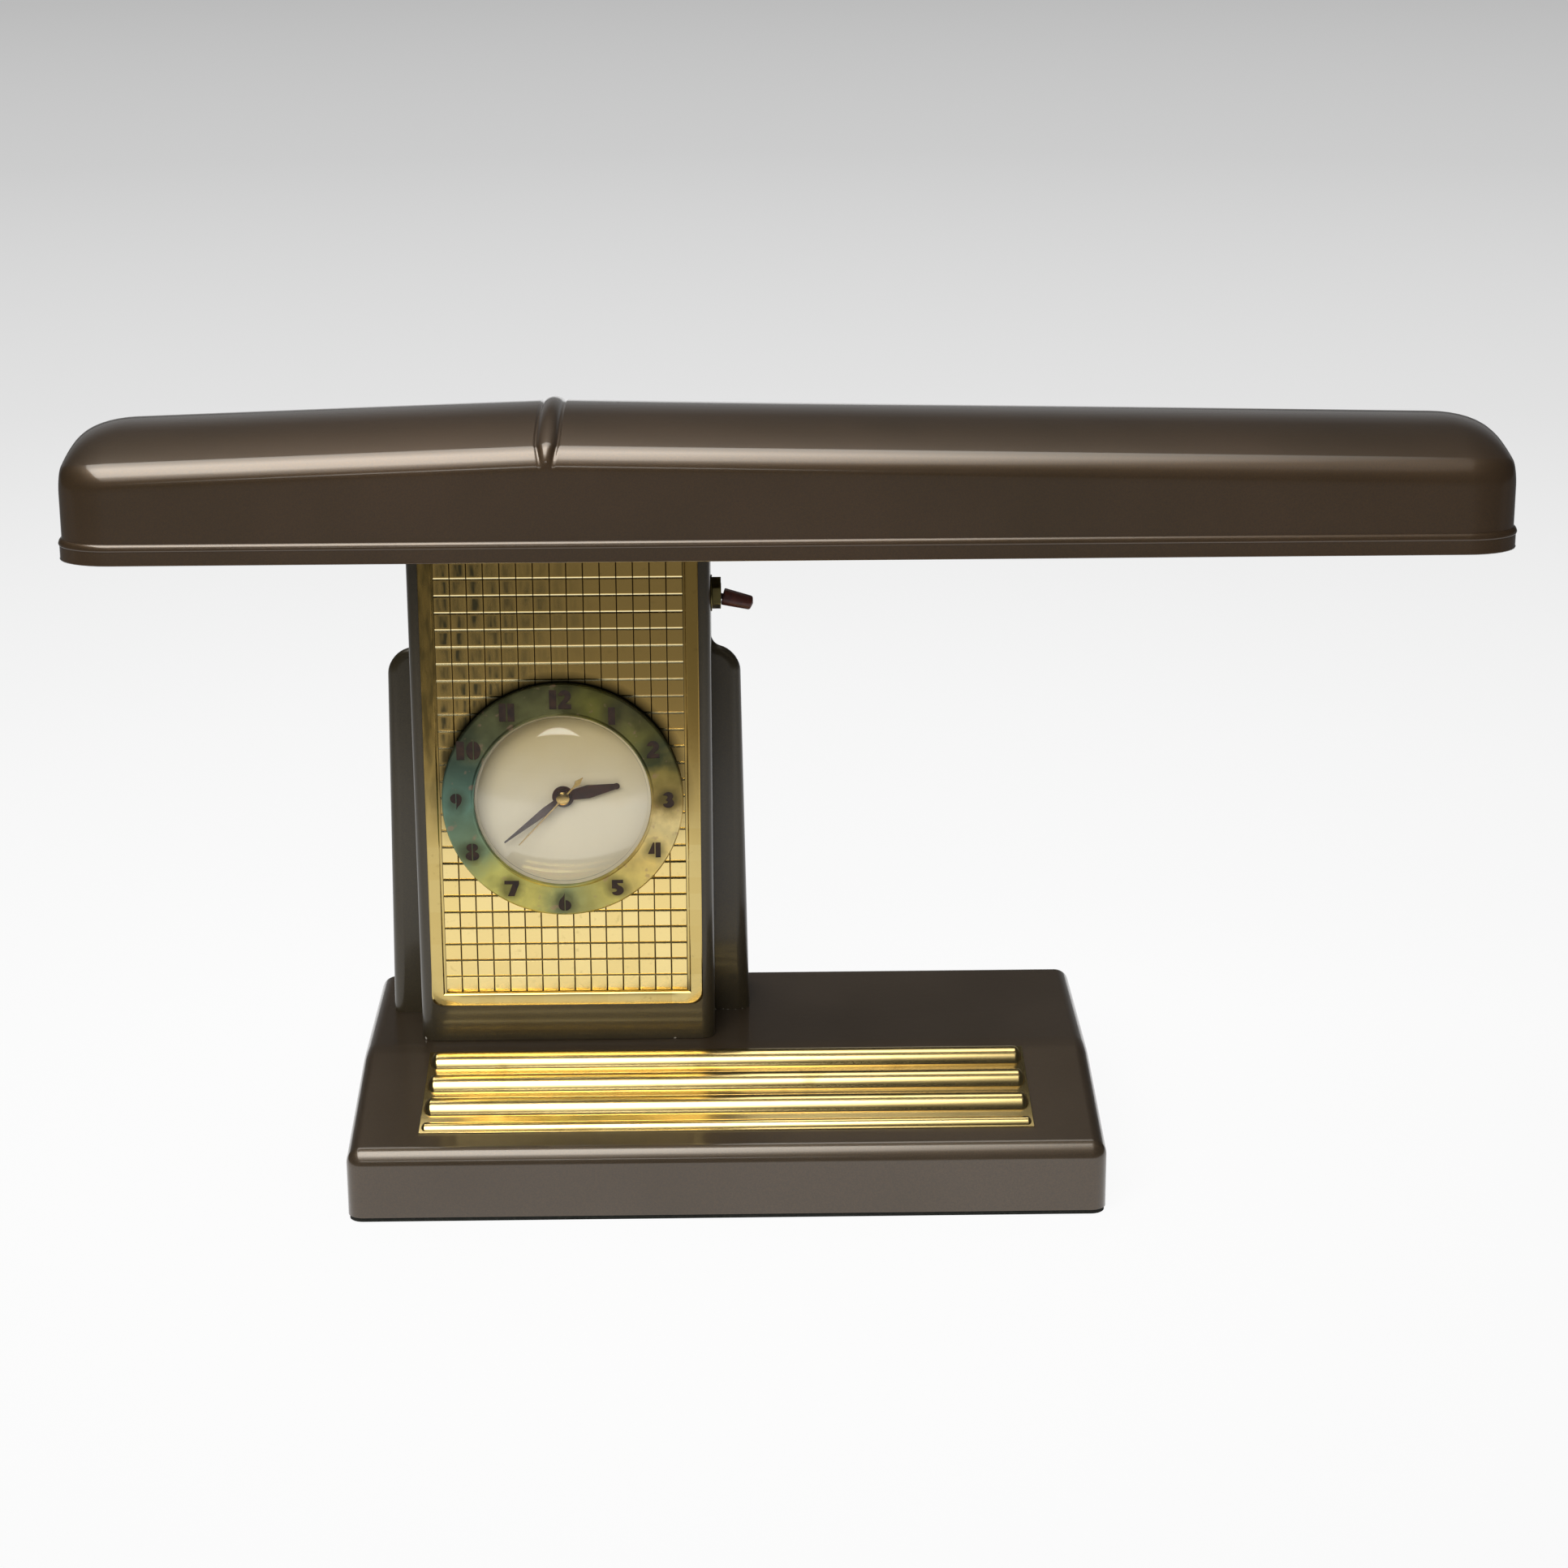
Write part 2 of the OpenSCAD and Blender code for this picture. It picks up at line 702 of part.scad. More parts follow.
module base_trim() {
    rib_l = trim_w - 2 * trim_t;
    color(brass)
    on_slope() {
        translate([0, -trim_back_gap - trim_d / 2, touch])
            linear_extrude(trim_t)
                rounded_rect(trim_w, trim_d, trim_r);
        for (i = [0:rib_count - 1])
            translate([0, -trim_back_gap - 1 - rib_w / 2 - i * rib_pitch, trim_t])
                trim_rib(rib_l, rib_w, rib_h);
        translate([0, -trim_back_gap - trim_d + lip_w / 2 + 1, trim_t])
            trim_rib(rib_l, lip_w, rib_h / 2);
    }
}

module cord_grommet() {
    inner_y = base_back_y - base_wall - touch;
    color(black)
    difference() {
        union() {
            rod_y(column_x, inlet_z, grommet_flange_r, base_back_y, base_back_y + grommet_flange_t);
            rod_y(column_x, inlet_z, grommet_neck_r - touch, inner_y - touch, base_back_y + touch);
            rod_y(column_x, inlet_z, grommet_flange_r, inner_y - grommet_flange_t, inner_y);
        }
        rod_y(column_x, inlet_z, cord_bore_r, base_back_y - 10, base_back_y + 10);
    }
}

module column_plan(t) {
    w = column_w / 2 - t;
    r = column_edge_r - t;
    y0 = column_front_y + t;
    translate([column_x, 0])
        polygon(concat([[w, column_back_y], [-w, column_back_y]],
            arc(-w + r, y0 + r, r, 180, 270, 8),
            arc(w - r, y0 + r, r, 270, 360, 8)));
}

module column_front() {
    side = column_w / 2 - column_wall;
    color(enamel)
    difference() {
        union() {
            difference() {
                translate([0, 0, base_rear_h])
                    linear_extrude(column_top - base_rear_h)
                        column_plan(0);
                translate([0, 0, base_rear_h - cut])
                    linear_extrude(column_top - base_rear_h - column_wall + cut)
                        column_plan(column_wall);
                box(column_x - side, column_x + side, column_back_y - cut, column_back_y + cut,
                    base_rear_h - cut, column_top - column_wall);
            }
            box(column_x - side, column_x + side, column_front_y + column_wall,
                column_front_y + foot_flange_d, base_rear_h, base_rear_h + column_wall);
            box(column_x - side, column_x + side, column_back_y - column_wall, column_back_y,
                column_top - back_strip_h, column_top);
        }
        rod_y(column_x, clock_z, opening_r, column_front_y - cut, post_front_y + cut);
        at_ring_studs()
            rod_y(0, 0, stud_r + screw_gap, column_front_y - cut, post_front_y + cut);
        rod_x(switch_y, switch_z, bushing_r + screw_gap, column_right - column_wall - cut,
            column_right + cut);
        at_foot_bolts()
            rod_z(foot_bolt_r + screw_gap, base_rear_h - cut, base_rear_h + column_wall + cut);
        at_bracket_screws()
            rod_z(screw_r + screw_gap, column_top - column_wall - cut, column_top + cut);
        translate([column_x, bracket_front_y + bracket_d / 2, 0])
            rod_z(top_hole_r, column_top - column_wall - cut, column_top + cut);
    }
}

module at_cover_posts() {
    for (sx = [-1, 1]) {
        translate([column_x + sx * post_low_x, 0, post_low_z])
            children();
        translate([column_x + sx * post_high_x, 0, post_high_z])
            children();
    }
}

module wing_slab(t, drop, y, low) {
    translate([column_x, 0, 0])
        along_y(y, y + touch)
            polygon(wing_outline(t, drop, low));
}

// The wings with their rounded front edges and falling shoulders, moved inwards
module wing_block(t, low) {
    r = cover_edge_r - t;
    back_y = cover_back_y - t - touch;
    hull() {
        for (a = [0:22.5:90])
            wing_slab(t + r * (1 - cos(a)), 0, column_back_y + t + r * (1 - sin(a)), low);
        wing_slab(t, (back_y - edge_y) * tan(shoulder_fall), back_y, low);
    }
}

// The rounded hollows between the shoulders and the neck, moved inwards
module hollows(t) {
    r = hollow_r + t;
    for (m = [0, 1])
        translate([column_x, edge_y, hollow_z])
            rotate([-shoulder_fall, 0, 0])
                mirror([m, 0, 0])
                    along_y(t - cover_edge_r / 2, column_back_d)
                        polygon(concat([[hollow_x - 3 * r, -2 * r], [hollow_x - 3 * r, 0]],
                            arc(hollow_x, 0, r, 180, 180 + hollow_angle - hollow_step, 6),
                            [[hollow_x, -2 * r]]));
}

// The back cover's block: the wings and the neck under a rounded roof, moved inwards
module cover_block(t, low) {
    y0 = column_back_y + t;
    intersection() {
        union() {
            wing_block(t, low);
            hollows(t);
            box(column_x - column_w / 2 + t, column_x + column_w / 2 - t, y0, cover_back_y - t,
                low, roof_z - t);
        }
        rotate([90, 0, 90])
            translate([0, 0, column_x - wing_bottom_w])
                linear_extrude(2 * wing_bottom_w)
                    polygon(concat([[y0, low - cut], [cover_back_y - t, low - cut]],
                        arc(cover_back_y - roof_r, roof_z - roof_r, roof_r - t, 0, 90, 8),
                        [[y0, roof_z - t]]));
    }
}

module column_back() {
    open_w = column_w - 2 * column_wall;
    color(enamel)
    difference() {
        cover_block(0, base_rear_h);
        cover_block(column_wall, base_rear_h - cut);
        box(column_x - open_w / 2, column_x + open_w / 2, column_back_y - cut,
            column_back_y + column_wall + cut, base_rear_h - cut, column_top - back_strip_h);
        for (i = [0:vent_count - 1])
            box(column_x - vent_l / 2, column_x + vent_l / 2, post_back_y - cut, cover_back_y + cut,
                vent_z + i * 3 * vent_w, vent_z + vent_w + i * 3 * vent_w);
        rod_y(set_x, set_z, set_shaft_r + 2, post_back_y - cut, cover_back_y + cut);
        at_cover_posts()
            rod_y(0, 0, screw_r + screw_gap, post_back_y - cut, cover_back_y + cut);
    }
}

module cover_posts() {
    color(steel)
    at_cover_posts()
        difference() {
            rod_y(0, 0, post_r, post_front_y, post_back_y);
            rod_y(0, 0, screw_r + shaft_gap, post_back_y - boss_hole_l, post_back_y + cut);
        }
}

module back_screws() {
    color(steel)
    at_cover_posts() {
        rod_y(0, 0, screw_head_r, cover_back_y, cover_back_y + screw_head_h);
        rod_y(0, 0, screw_r, post_back_y - boss_hole_l + 2, cover_back_y + touch);
    }
}

module column_bolts() {
    low = base_rear_h - base_wall - touch;
    high = base_rear_h + column_wall;
    color(steel)
    at_foot_bolts() {
        rod_z(bolt_head_r, low - 2, low);
        rod_z(foot_bolt_r, low - touch, high + 2 * bolt_nut_t);
        rod_z(bolt_nut_r, high, high + bolt_nut_t, $fn = 6);
    }
}

module brass_panel() {
    mid_z = panel_z + panel_h / 2;
    field_w = panel_w - 2 * panel_border;
    field_h = panel_h - 2 * panel_border;
    pitch_x = field_w / tile_columns;
    pitch_z = field_h / tile_rows;
    left = column_x - field_w / 2;
    low = panel_z + panel_border;
    color(brass)
    difference() {
        union() {
            translate([column_x, 0, mid_z])
                along_y(panel_front_y, column_front_y)
                    rounded_rect(panel_w, panel_h, panel_r);
            box(left, left + field_w, tile_front_y, panel_front_y + touch, low, low + field_h);
        }
        for (i = [1:tile_columns - 1])
            box(left + i * pitch_x - tile_groove / 2, left + i * pitch_x + tile_groove / 2,
                tile_front_y - cut, panel_front_y, low - cut, low + field_h + cut);
        for (i = [1:tile_rows - 1])
            box(left - cut, left + field_w + cut, tile_front_y - cut, panel_front_y,
                low + i * pitch_z - tile_groove / 2, low + i * pitch_z + tile_groove / 2);
        rod_y(column_x, clock_z, opening_r, tile_front_y - cut, column_front_y + cut);
        at_ring_studs()
            rod_y(0, 0, stud_r + screw_gap, tile_front_y - cut, column_front_y + cut);
    }
}

module clock_ring() {
    front = ring_front_y;
    depth = skirt_back_y - front;
    seat = lip_back_y - front;
    flange = tile_front_y - front;
    color(dark_brass)
    on_dial_axis(front)
        rotate_extrude()
            polygon(concat([[dial_open_r, 0.4], [dial_open_r + 0.4, 0]],
                arc(ring_r - ring_edge_r, ring_edge_r, ring_edge_r, 270, 360, 4),
                [[ring_r, flange], [skirt_r + skirt_wall, flange], [skirt_r + skirt_wall, depth],
                [skirt_r, depth], [skirt_r, seat], [dial_open_r, seat]]));
}

module at_ring_studs() {
    for (a = [45, 135, 225, 315])
        translate([column_x + stud_ring_r * sin(a), 0, clock_z + stud_ring_r * cos(a)])
            children();
}

module ring_studs() {
    color(dark_brass)
    at_ring_studs()
        rod_y(0, 0, stud_r, tile_front_y, column_front_y + stud_end);
}

module ring_nuts() {
    y = column_front_y + column_wall;
    color(steel)
    at_ring_studs()
        difference() {
            translate([0, y, 0])
                rotate([-90, 0, 0])
                    cylinder(r = ring_nut_r, h = small_nut_t, $fn = 6);
            rod_y(0, 0, stud_r + shaft_gap, y - cut, y + small_nut_t + cut);
        }
}

module crystal() {
    flange_in = dial_open_r - 1.2;
    dome_r = dial_open_r - 0.25;
    ball = (dome_r * dome_r + dome_h * dome_h) / (2 * dome_h);
    color("#dfe9e6", 0.35)
    on_dial_axis(lip_back_y) {
        difference() {
            cylinder(r = skirt_r - 0.1, h = crystal_t);
            translate([0, 0, -cut])
                cylinder(r = flange_in, h = crystal_t + 2 * cut);
        }
        intersection() {
            translate([0, 0, ball - dome_h])
                difference() {
                    sphere(ball, $fn = 96);
                    sphere(ball - crystal_t, $fn = 96);
                }
            translate([0, 0, -dome_h - cut])
                cylinder(r = dome_r, h = dome_h + cut + crystal_t);
        }
    }
}

module crystal_retainer() {
    color(steel)
    on_dial_axis(lip_back_y + crystal_t)
        difference() {
            cylinder(r = skirt_r - shaft_gap, h = retainer_t);
            translate([0, 0, -cut])
                cylinder(r = skirt_r - 2, h = retainer_t + 2 * cut);
        }
}

module dial() {
    color("#e0d4bc")
    on_dial_axis(dial_y)
        difference() {
            cylinder(r = skirt_r - 0.2, h = dial_t);
            translate([0, 0, -cut])
                cylinder(r = pipe_r + 0.4, h = dial_t + 2 * cut);
        }
}

module clock_case() {
    color(steel)
    on_dial_axis(case_front_y)
        difference() {
            cylinder(r = skirt_r - touch, h = case_d);
            translate([0, 0, -cut])
                cylinder(r = skirt_r - case_wall, h = case_d - case_wall + cut);
            translate([set_x - column_x, clock_z - set_z, 0])
                rod_z(set_shaft_r + 1, case_d - case_wall - cut, case_d + cut);
            translate([0, 4 - coil_high, 0])
                rod_z(2.5, case_d - case_wall - cut, case_d + cut);
        }
}

// A hand in the dial's own plane, pointing up before it is turned
module turned_hand(y, turn) {
    on_dial_axis(y)
        rotate([0, 0, turn])
            mirror([0, 1, 0])
                children();
}

module hour_hand() {
    l = hour_hand_l;
    color("#2c1c14")
    turned_hand(hour_hand_y, hour_angle)
        difference() {
            union() {
                rod_z(pipe_r + hub_wall, 0, hand_t);
                linear_extrude(hand_t)
                    polygon([[-1.6, 0], [-2.5, l * 0.45], [-1.0, l - hour_tip_r],
                        [1.0, l - hour_tip_r], [2.5, l * 0.45], [1.6, 0]]);
                translate([0, l - hour_tip_r, 0])
                    rod_z(hour_tip_r, 0, hand_t);
            }
            rod_z(pipe_r + shaft_gap, -cut, hand_t + cut);
        }
}

module minute_hand() {
    l = minute_hand_l;
    color("#2c1c14")
    turned_hand(minute_hand_y, minute_angle)
        difference() {
            union() {
                rod_z(cannon_r + hub_wall, 0, hand_t);
                linear_extrude(hand_t)
                    polygon([[-1.1, 0], [-1.5, l * 0.3], [-0.25, l], [0.25, l], [1.5, l * 0.3],
                        [1.1, 0]]);
            }
            rod_z(cannon_r + shaft_gap, -cut, hand_t + cut);
        }
}

module second_hand() {
    l = second_hand_l;
    color(brass)
    turned_hand(second_hand_y, second_angle)
        difference() {
            union() {
                rod_z(second_hub_r, 0, hand_t);
                linear_extrude(hand_t)
                    polygon([[-0.35, 0], [-0.2, l], [0.2, l], [0.35, 0], [0.3, -6], [1.1, -8],
                        [0, -11], [-1.1, -8], [-0.3, -6]]);
            }
            rod_z(arbor_r + shaft_gap / 2, -cut, hand_t + cut);
        }
}

module hour_wheel() {
    y = hour_hand_y - hub_out;
    color(brass)
    difference() {
        union() {
            rod_y(column_x, clock_z, pipe_r, y, hour_wheel_y + gear_t + hub_out);
            on_dial_axis(hour_wheel_y)
                linear_extrude(gear_t)
                    polygon(gear_outline(hour_teeth, 180 + 180 / hour_teeth));
        }
        rod_y(column_x, clock_z, pipe_bore, y - cut, hour_wheel_y + gear_t + cut);
    }
}

module cannon_pinion() {
    y = minute_hand_y - hub_out;
    back = front_plate_y + movement_plate_t + 1.5;
    color(steel)
    difference() {
        union() {
            rod_y(column_x, clock_z, cannon_r, y, back);
            on_dial_axis(minute_wheel_y - hub_out)
                linear_extrude(gear_t + 2 * hub_out)
                    polygon(gear_outline(cannon_teeth, 180));
        }
        rod_y(column_x, clock_z, cannon_bore, y - cut, back + cut);
    }
}

module minute_wheel() {
    y = hour_wheel_y - hub_out;
    color(brass)
    difference() {
        translate([0, 0, -gear_centres]) {
            on_dial_axis(y)
                linear_extrude(gear_t + 2 * hub_out)
                    polygon(gear_outline(pinion_teeth, 0));
            rod_y(column_x, clock_z, 1.9, y, minute_wheel_y + touch);
            on_dial_axis(minute_wheel_y)
                linear_extrude(gear_t)
                    polygon(gear_outline(minute_teeth, 180 / minute_teeth));
        }
        rod_y(column_x, minute_axis_z, minute_stud_r + shaft_gap, y - cut,
            minute_wheel_y + gear_t + cut);
    }
}

module minute_stud() {
    color(steel)
    rod_y(column_x, minute_axis_z, minute_stud_r, hour_wheel_y - 2 * hub_out,
        front_plate_y + movement_plate_t);
}

module second_arbor() {
    color(steel)
    rod_y(column_x, clock_z, arbor_r, second_hand_y - 2 * hub_out, rotor_y);
}

module movement_plate(y, centre_r) {
    difference() {
        translate([column_x, 0, clock_z])
            along_y(y, y + movement_plate_t)
                rounded_rect(movement_w, movement_w, 8);
        rod_y(column_x, clock_z, centre_r + shaft_gap, y - cut, y + movement_plate_t + cut);
        rod_y(set_x, set_z, set_shaft_r + shaft_gap, y - cut, y + movement_plate_t + cut);
        rod_y(column_x, minute_axis_z, minute_stud_r, y - cut, y + movement_plate_t + cut);
    }
}

module front_plate() {
    color(brass)
    movement_plate(front_plate_y, cannon_r);
}

module back_plate() {
    color(brass)
    movement_plate(back_plate_y, arbor_r);
}

module movement_pillars() {
    color(steel)
    for (sx = [-1, 1], sz = [-1, 1]) {
        x = column_x + sx * pillar_at;
        z = clock_z + sz * pillar_at;
        rod_y(x, z, pillar_r, front_plate_y + movement_plate_t, back_plate_y);
        rod_y(x, z, pillar_r, back_plate_y + movement_plate_t, case_back_y - case_wall);
    }
}

module field_core() {
    color("#6d6a66")
    translate([column_x, 0, clock_z])
        difference() {
            along_y(core_y, core_y + core_d)
                difference() {
                    translate([-core_half_w, -core_low])
                        square([2 * core_half_w, core_low + core_top]);
                    translate([-core_half_w + core_bar, rotor_r + 2])
                        square([2 * (core_half_w - core_bar), core_top - core_bar - rotor_r - 2]);
                }
            rod_y(0, 0, rotor_r + 0.3, core_y - cut, core_y + core_d + cut);
            rod_y(set_x - column_x, set_z - clock_z, set_shaft_r + 1, core_y - cut,
                core_y + core_d + cut);
        }
}

module field_coil() {
    bar_gap = 0.3;
    color("#7c3b1e")
    difference() {
        box(column_x - coil_half_w, column_x + coil_half_w, coil_y, coil_y + coil_d,
            clock_z + coil_low, clock_z + coil_high);
        box(column_x - core_half_w, column_x + core_half_w, core_y - bar_gap,
            core_y + core_d + bar_gap, clock_z + core_top - core_bar - bar_gap,
            clock_z + core_top + bar_gap);
    }
}

module rotor_unit() {
    color("#b8703c")
    difference() {
        union() {
            rod_y(column_x, clock_z, rotor_r, rotor_y, rotor_y + rotor_l);
            rod_y(column_x, clock_z, 3, back_plate_y + movement_plate_t, rotor_y + touch);
        }
        rod_y(column_x, clock_z, arbor_r + shaft_gap, back_plate_y, rotor_y + touch);
    }
}

module set_shaft() {
    y = minute_wheel_y;
    color(steel) {
        rod_y(set_x, set_z, set_shaft_r, y, knob_y + set_knob_l - 2);
        translate([set_x - column_x, 0, set_z - clock_z])
            on_dial_axis(y)
                linear_extrude(gear_t)
                    polygon(gear_outline(cannon_teeth, set_turn + 180));
    }
}

module set_knob() {
    grips = 18;
    color(black)
    difference() {
        rod_y(set_x, set_z, set_knob_r, knob_y, knob_y + set_knob_l);
        rod_y(set_x, set_z, set_shaft_r + touch / 2, knob_y - cut, knob_y + set_knob_l - 2);
        for (i = [0:grips - 1])
            translate([set_x + set_knob_r * cos(i * 360 / grips), 0,
                set_z + set_knob_r * sin(i * 360 / grips)])
                rod_y(0, 0, 0.5, knob_y - cut, knob_y + set_knob_l + cut);
    }
}

module switch_body() {
    inside = column_right - column_wall;
    color("#33261f")
    difference() {
        union() {
            box(inside - switch_box_x, inside, switch_y - switch_box_y / 2,
                switch_y + switch_box_y / 2, switch_z - switch_box_z / 2,
                switch_z + switch_box_z / 2);
            rod_x(switch_y, switch_z, bushing_r, inside - touch, bushing_end_x);
        }
        rod_x(switch_y, switch_z, bushing_bore_r, pivot_x - 4, bushing_end_x + cut);
        rod_y(pivot_x, switch_z, lever_pin_r + shaft_gap, switch_y - lever_pin_l / 2 - shaft_gap,
            switch_y + lever_pin_l / 2 + shaft_gap);
    }
}

module switch_washer() {
    color(brass)
    difference() {
        rod_x(switch_y, switch_z, washer_r, column_right, column_right + washer_t);
        rod_x(switch_y, switch_z, bushing_r + shaft_gap, column_right - cut,
            column_right + washer_t + cut);
    }
}

module switch_nut() {
    x = column_right + washer_t;
    color(brass)
    difference() {
        translate([x, switch_y, switch_z])
            rotate([0, 90, 0])
                cylinder(r = nut_r, h = nut_t, $fn = 6);
        rod_x(switch_y, switch_z, bushing_r + shaft_gap, x - cut, x + nut_t + cut);
    }
}

module switch_lever() {
    color(bakelite) {
        rod_y(pivot_x, switch_z, lever_pin_r, switch_y - lever_pin_l / 2,
            switch_y + lever_pin_l / 2);
        translate([pivot_x, switch_y, switch_z])
            rotate([0, 90 + lever_angle, 0]) {
                sphere(bushing_bore_r - 0.3);
                cylinder(r = 1.1, h = lever_root + touch);
                translate([0, 0, lever_root])
                    cylinder(r1 = lever_root_d / 2, r2 = lever_tip_d / 2, h = lever_l);
            }
    }
}

// The shade's form, moved inwards by a distance, with its top lifted
module shade_form(inset, lift, low) {
    hull() {
        for (side = [-1, 1], k = [0:6]) {
            s = sin(15 * k);
            c = cos(15 * k);
            x = shade_offset + side * (wall_half_l - inset - (end_round_l - inset) * (1 - s));
            a = wall_half_d - inset - (end_round_d - inset) * (1 - c);
            h = crest(x) - inset + lift - end_round_h * (1 - c);
            shade_slice(x, a, h, inset, low);
        }
        shade_slice(column_x, wall_half_d - inset, ridge_h - inset + lift, inset, low);
    }
}

module shade_slice(x, a, h, inset, low) {
    translate([x, shade_y, rim_z])
        rotate([90, 0, 90])
            linear_extrude(touch / 2, center = true)
                polygon(slice(a, h, crown_r - inset, long_edge_r - inset, low));
}

module shade() {
    color(enamel)
    difference() {
        union() {
            shade_form(0, 0, 0);
            intersection() {
                shade_form(0, band_h, 0);
                box(column_x - band_w / 2, column_x + band_w / 2, shade_y - shade_d / 2,
                    shade_y + shade_d / 2, rim_z + ridge_h / 2, rim_z + ridge_h + 2 * band_h);
            }
            translate([0, 0, rim_z])
                linear_extrude(rim_h)
                    polygon(shade_plan(rim_step));
        }
        shade_form(shade_wall, 0, -cut);
    }
}

module at_bracket_screws() {
    for (sx = [-1, 1])
        translate([column_x + sx * bracket_screw_x, bracket_front_y + bracket_d / 2, 0])
            children();
}

module shade_bracket() {
    x0 = column_x - bracket_half_w;
    x1 = column_x + bracket_half_w;
    y0 = bracket_front_y;
    y1 = bracket_front_y + bracket_d;
    top = rim_z + ridge_h;
    color(steel)
    difference() {
        intersection() {
            box(x0, x1, y0, y1, column_top, top);
            shade_form(shade_wall, 0, 0);
        }
        intersection() {
            box(x0 + bracket_t, x1 - bracket_t, y0 - cut, y1 + cut, column_top + bracket_t, top);
            shade_form(shade_wall + bracket_t, 0, 0);
        }
        at_bracket_screws()
            rod_z(screw_r + screw_gap, column_top - cut, column_top + bracket_t + cut);
        translate([column_x, bracket_front_y + bracket_d / 2, 0])
            rod_z(top_hole_r, column_top - cut, column_top + bracket_t + cut);
    }
}

module bracket_screws() {
    low = column_top - column_wall;
    color(steel)
    at_bracket_screws() {
        rod_z(screw_head_r, low - screw_head_h, low);
        rod_z(screw_r, low - touch, column_top + bracket_t + 2 * small_nut_t);
        rod_z(small_nut_r, column_top + bracket_t, column_top + bracket_t + small_nut_t, $fn = 6);
    }
}

module reflector() {
    t = reflector_t;
    a = reflector_top_d / 2;
    b = a + reflector_spread;
    h = reflector_side_h;
    color(white)
    difference() {
        translate([shade_offset - reflector_l / 2, tube_y, reflector_z])
            rotate([90, 0, 90])
                linear_extrude(reflector_l)
                    polygon([[-b, -h], [-b + t, -h], [-a + t / 2, -t], [a - t / 2, -t],
                        [b - t, -h], [b, -h], [a, 0], [-a, 0]]);
        at_reflector_posts()
            rod_z(screw_r, -t - cut, cut);
    }
}

module at_reflector_posts() {
    for (x = reflector_post_x)
        translate([x, reflector_post_y, reflector_z])
            children();
}

module reflector_posts() {
    color(steel)
    difference() {
        intersection() {
            at_reflector_posts()
                cylinder(r = reflector_post_r, h = ridge_h);
            shade_form(shade_wall, 0, 0);
        }
        at_reflector_posts()
            rod_z(screw_r, -cut, post_hole_l);
    }
}

module tube_glass() {
    wall = 0.8;
    x0 = tube_left + cap_l - 3;
    x1 = tube_right - cap_l + 3;
    color("#f4f4ee")
    difference() {
        rod_x(tube_y, tube_z, tube_d / 2 - 0.3, x0, x1);
        rod_x(tube_y, tube_z, tube_d / 2 - 0.3 - wall, x0 + wall, x1 - wall);
    }
}

module tube_caps() {
    color("#b9bbb8")
    for (side = [-1, 1]) {
        face = shade_offset + side * tube_l / 2;
        translate([face, tube_y, tube_z])
            rotate([0, -90 * side, 0]) {
                difference() {
                    cylinder(r = tube_d / 2, h = cap_l);
                    translate([0, 0, cap_l - 3 - touch])
                        cylinder(r = tube_d / 2 - 0.3 + touch, h = 5);
                }
                for (s = [-1, 1])
                    translate([0, s * pin_pitch / 2, -pin_l])
                        cylinder(r = pin_d / 2, h = pin_l + touch);
            }
    }
}

// A lampholder: the pins enter from below and turn in a round track
module lampholder(side) {
    face = shade_offset + side * (tube_l / 2 + holder_gap);
    slot = pin_d + 2 * pin_gap;
    color(white)
    translate([face, tube_y, 0])
        mirror([side < 0 ? 1 : 0, 0, 0])
            difference() {
                box(0, holder_t, -holder_w / 2, holder_w / 2, holder_low, holder_high);
                difference() {
                    rod_x(0, tube_z, groove_out, -cut, groove_depth);
                    rod_x(0, tube_z, groove_in, -2 * cut, groove_depth + cut);
                }
                box(-cut, groove_depth, -slot / 2, slot / 2, holder_low - cut,
                    tube_z + groove_out - pin_d / 2);
                for (s = [-1, 1])
                    rod_x(s * holder_screw_y, holder_screw_z, screw_r,
                        holder_t - holder_screw_l - 1, holder_t + cut);
            }
}

module lampholder_left() {
    lampholder(-1);
}

module lampholder_right() {
    lampholder(1);
}

module holder_brackets() {
    t = holder_sheet;
    color(steel)
    for (side = [-1, 1])
        translate([shade_offset + side * (tube_l / 2 + holder_gap + holder_t), tube_y, 0])
            mirror([side < 0 ? 1 : 0, 0, 0]) {
                box(0, t, -holder_w / 2, holder_w / 2, tube_z, holder_high + t - reflector_t);
                box(-holder_t, t, -holder_w / 2, holder_w / 2, holder_high,
                    holder_high + t - reflector_t);
                for (s = [-1, 1]) {
                    rod_x(s * holder_screw_y, holder_screw_z, screw_head_r - 0.6, t,
                        t + screw_head_h);
                    rod_x(s * holder_screw_y, holder_screw_z, screw_r - touch,
                        -holder_screw_l, t + touch);
                }
            }
}

module starter() {
    x = starter_x + socket_t;
    color("#c9cac6") {
        rod_x(starter_y, starter_z, starter_r, x, x + starter_l);
        for (s = [-1, 1])
            rod_x(starter_y + s * starter_pin_y, starter_z, starter_pin_r, x - starter_pin_l,
                x + touch);
    }
}

module starter_socket() {
    color(white)
    difference() {
        rod_x(starter_y, starter_z, starter_r + 1, starter_x, starter_x + socket_t);
        for (s = [-1, 1])
            rod_x(starter_y + s * starter_pin_y, starter_z, starter_pin_r + pin_gap,
                starter_x + socket_t - starter_pin_l - 1, starter_x + socket_t + cut);
    }
}

module starter_bracket() {
    color(steel)
    intersection() {
        box(starter_x - bracket_t, starter_x, starter_y - 9, starter_y + 9, starter_z - starter_r,
            rim_z + ridge_h);
        shade_form(shade_wall, 0, 0);
    }
}

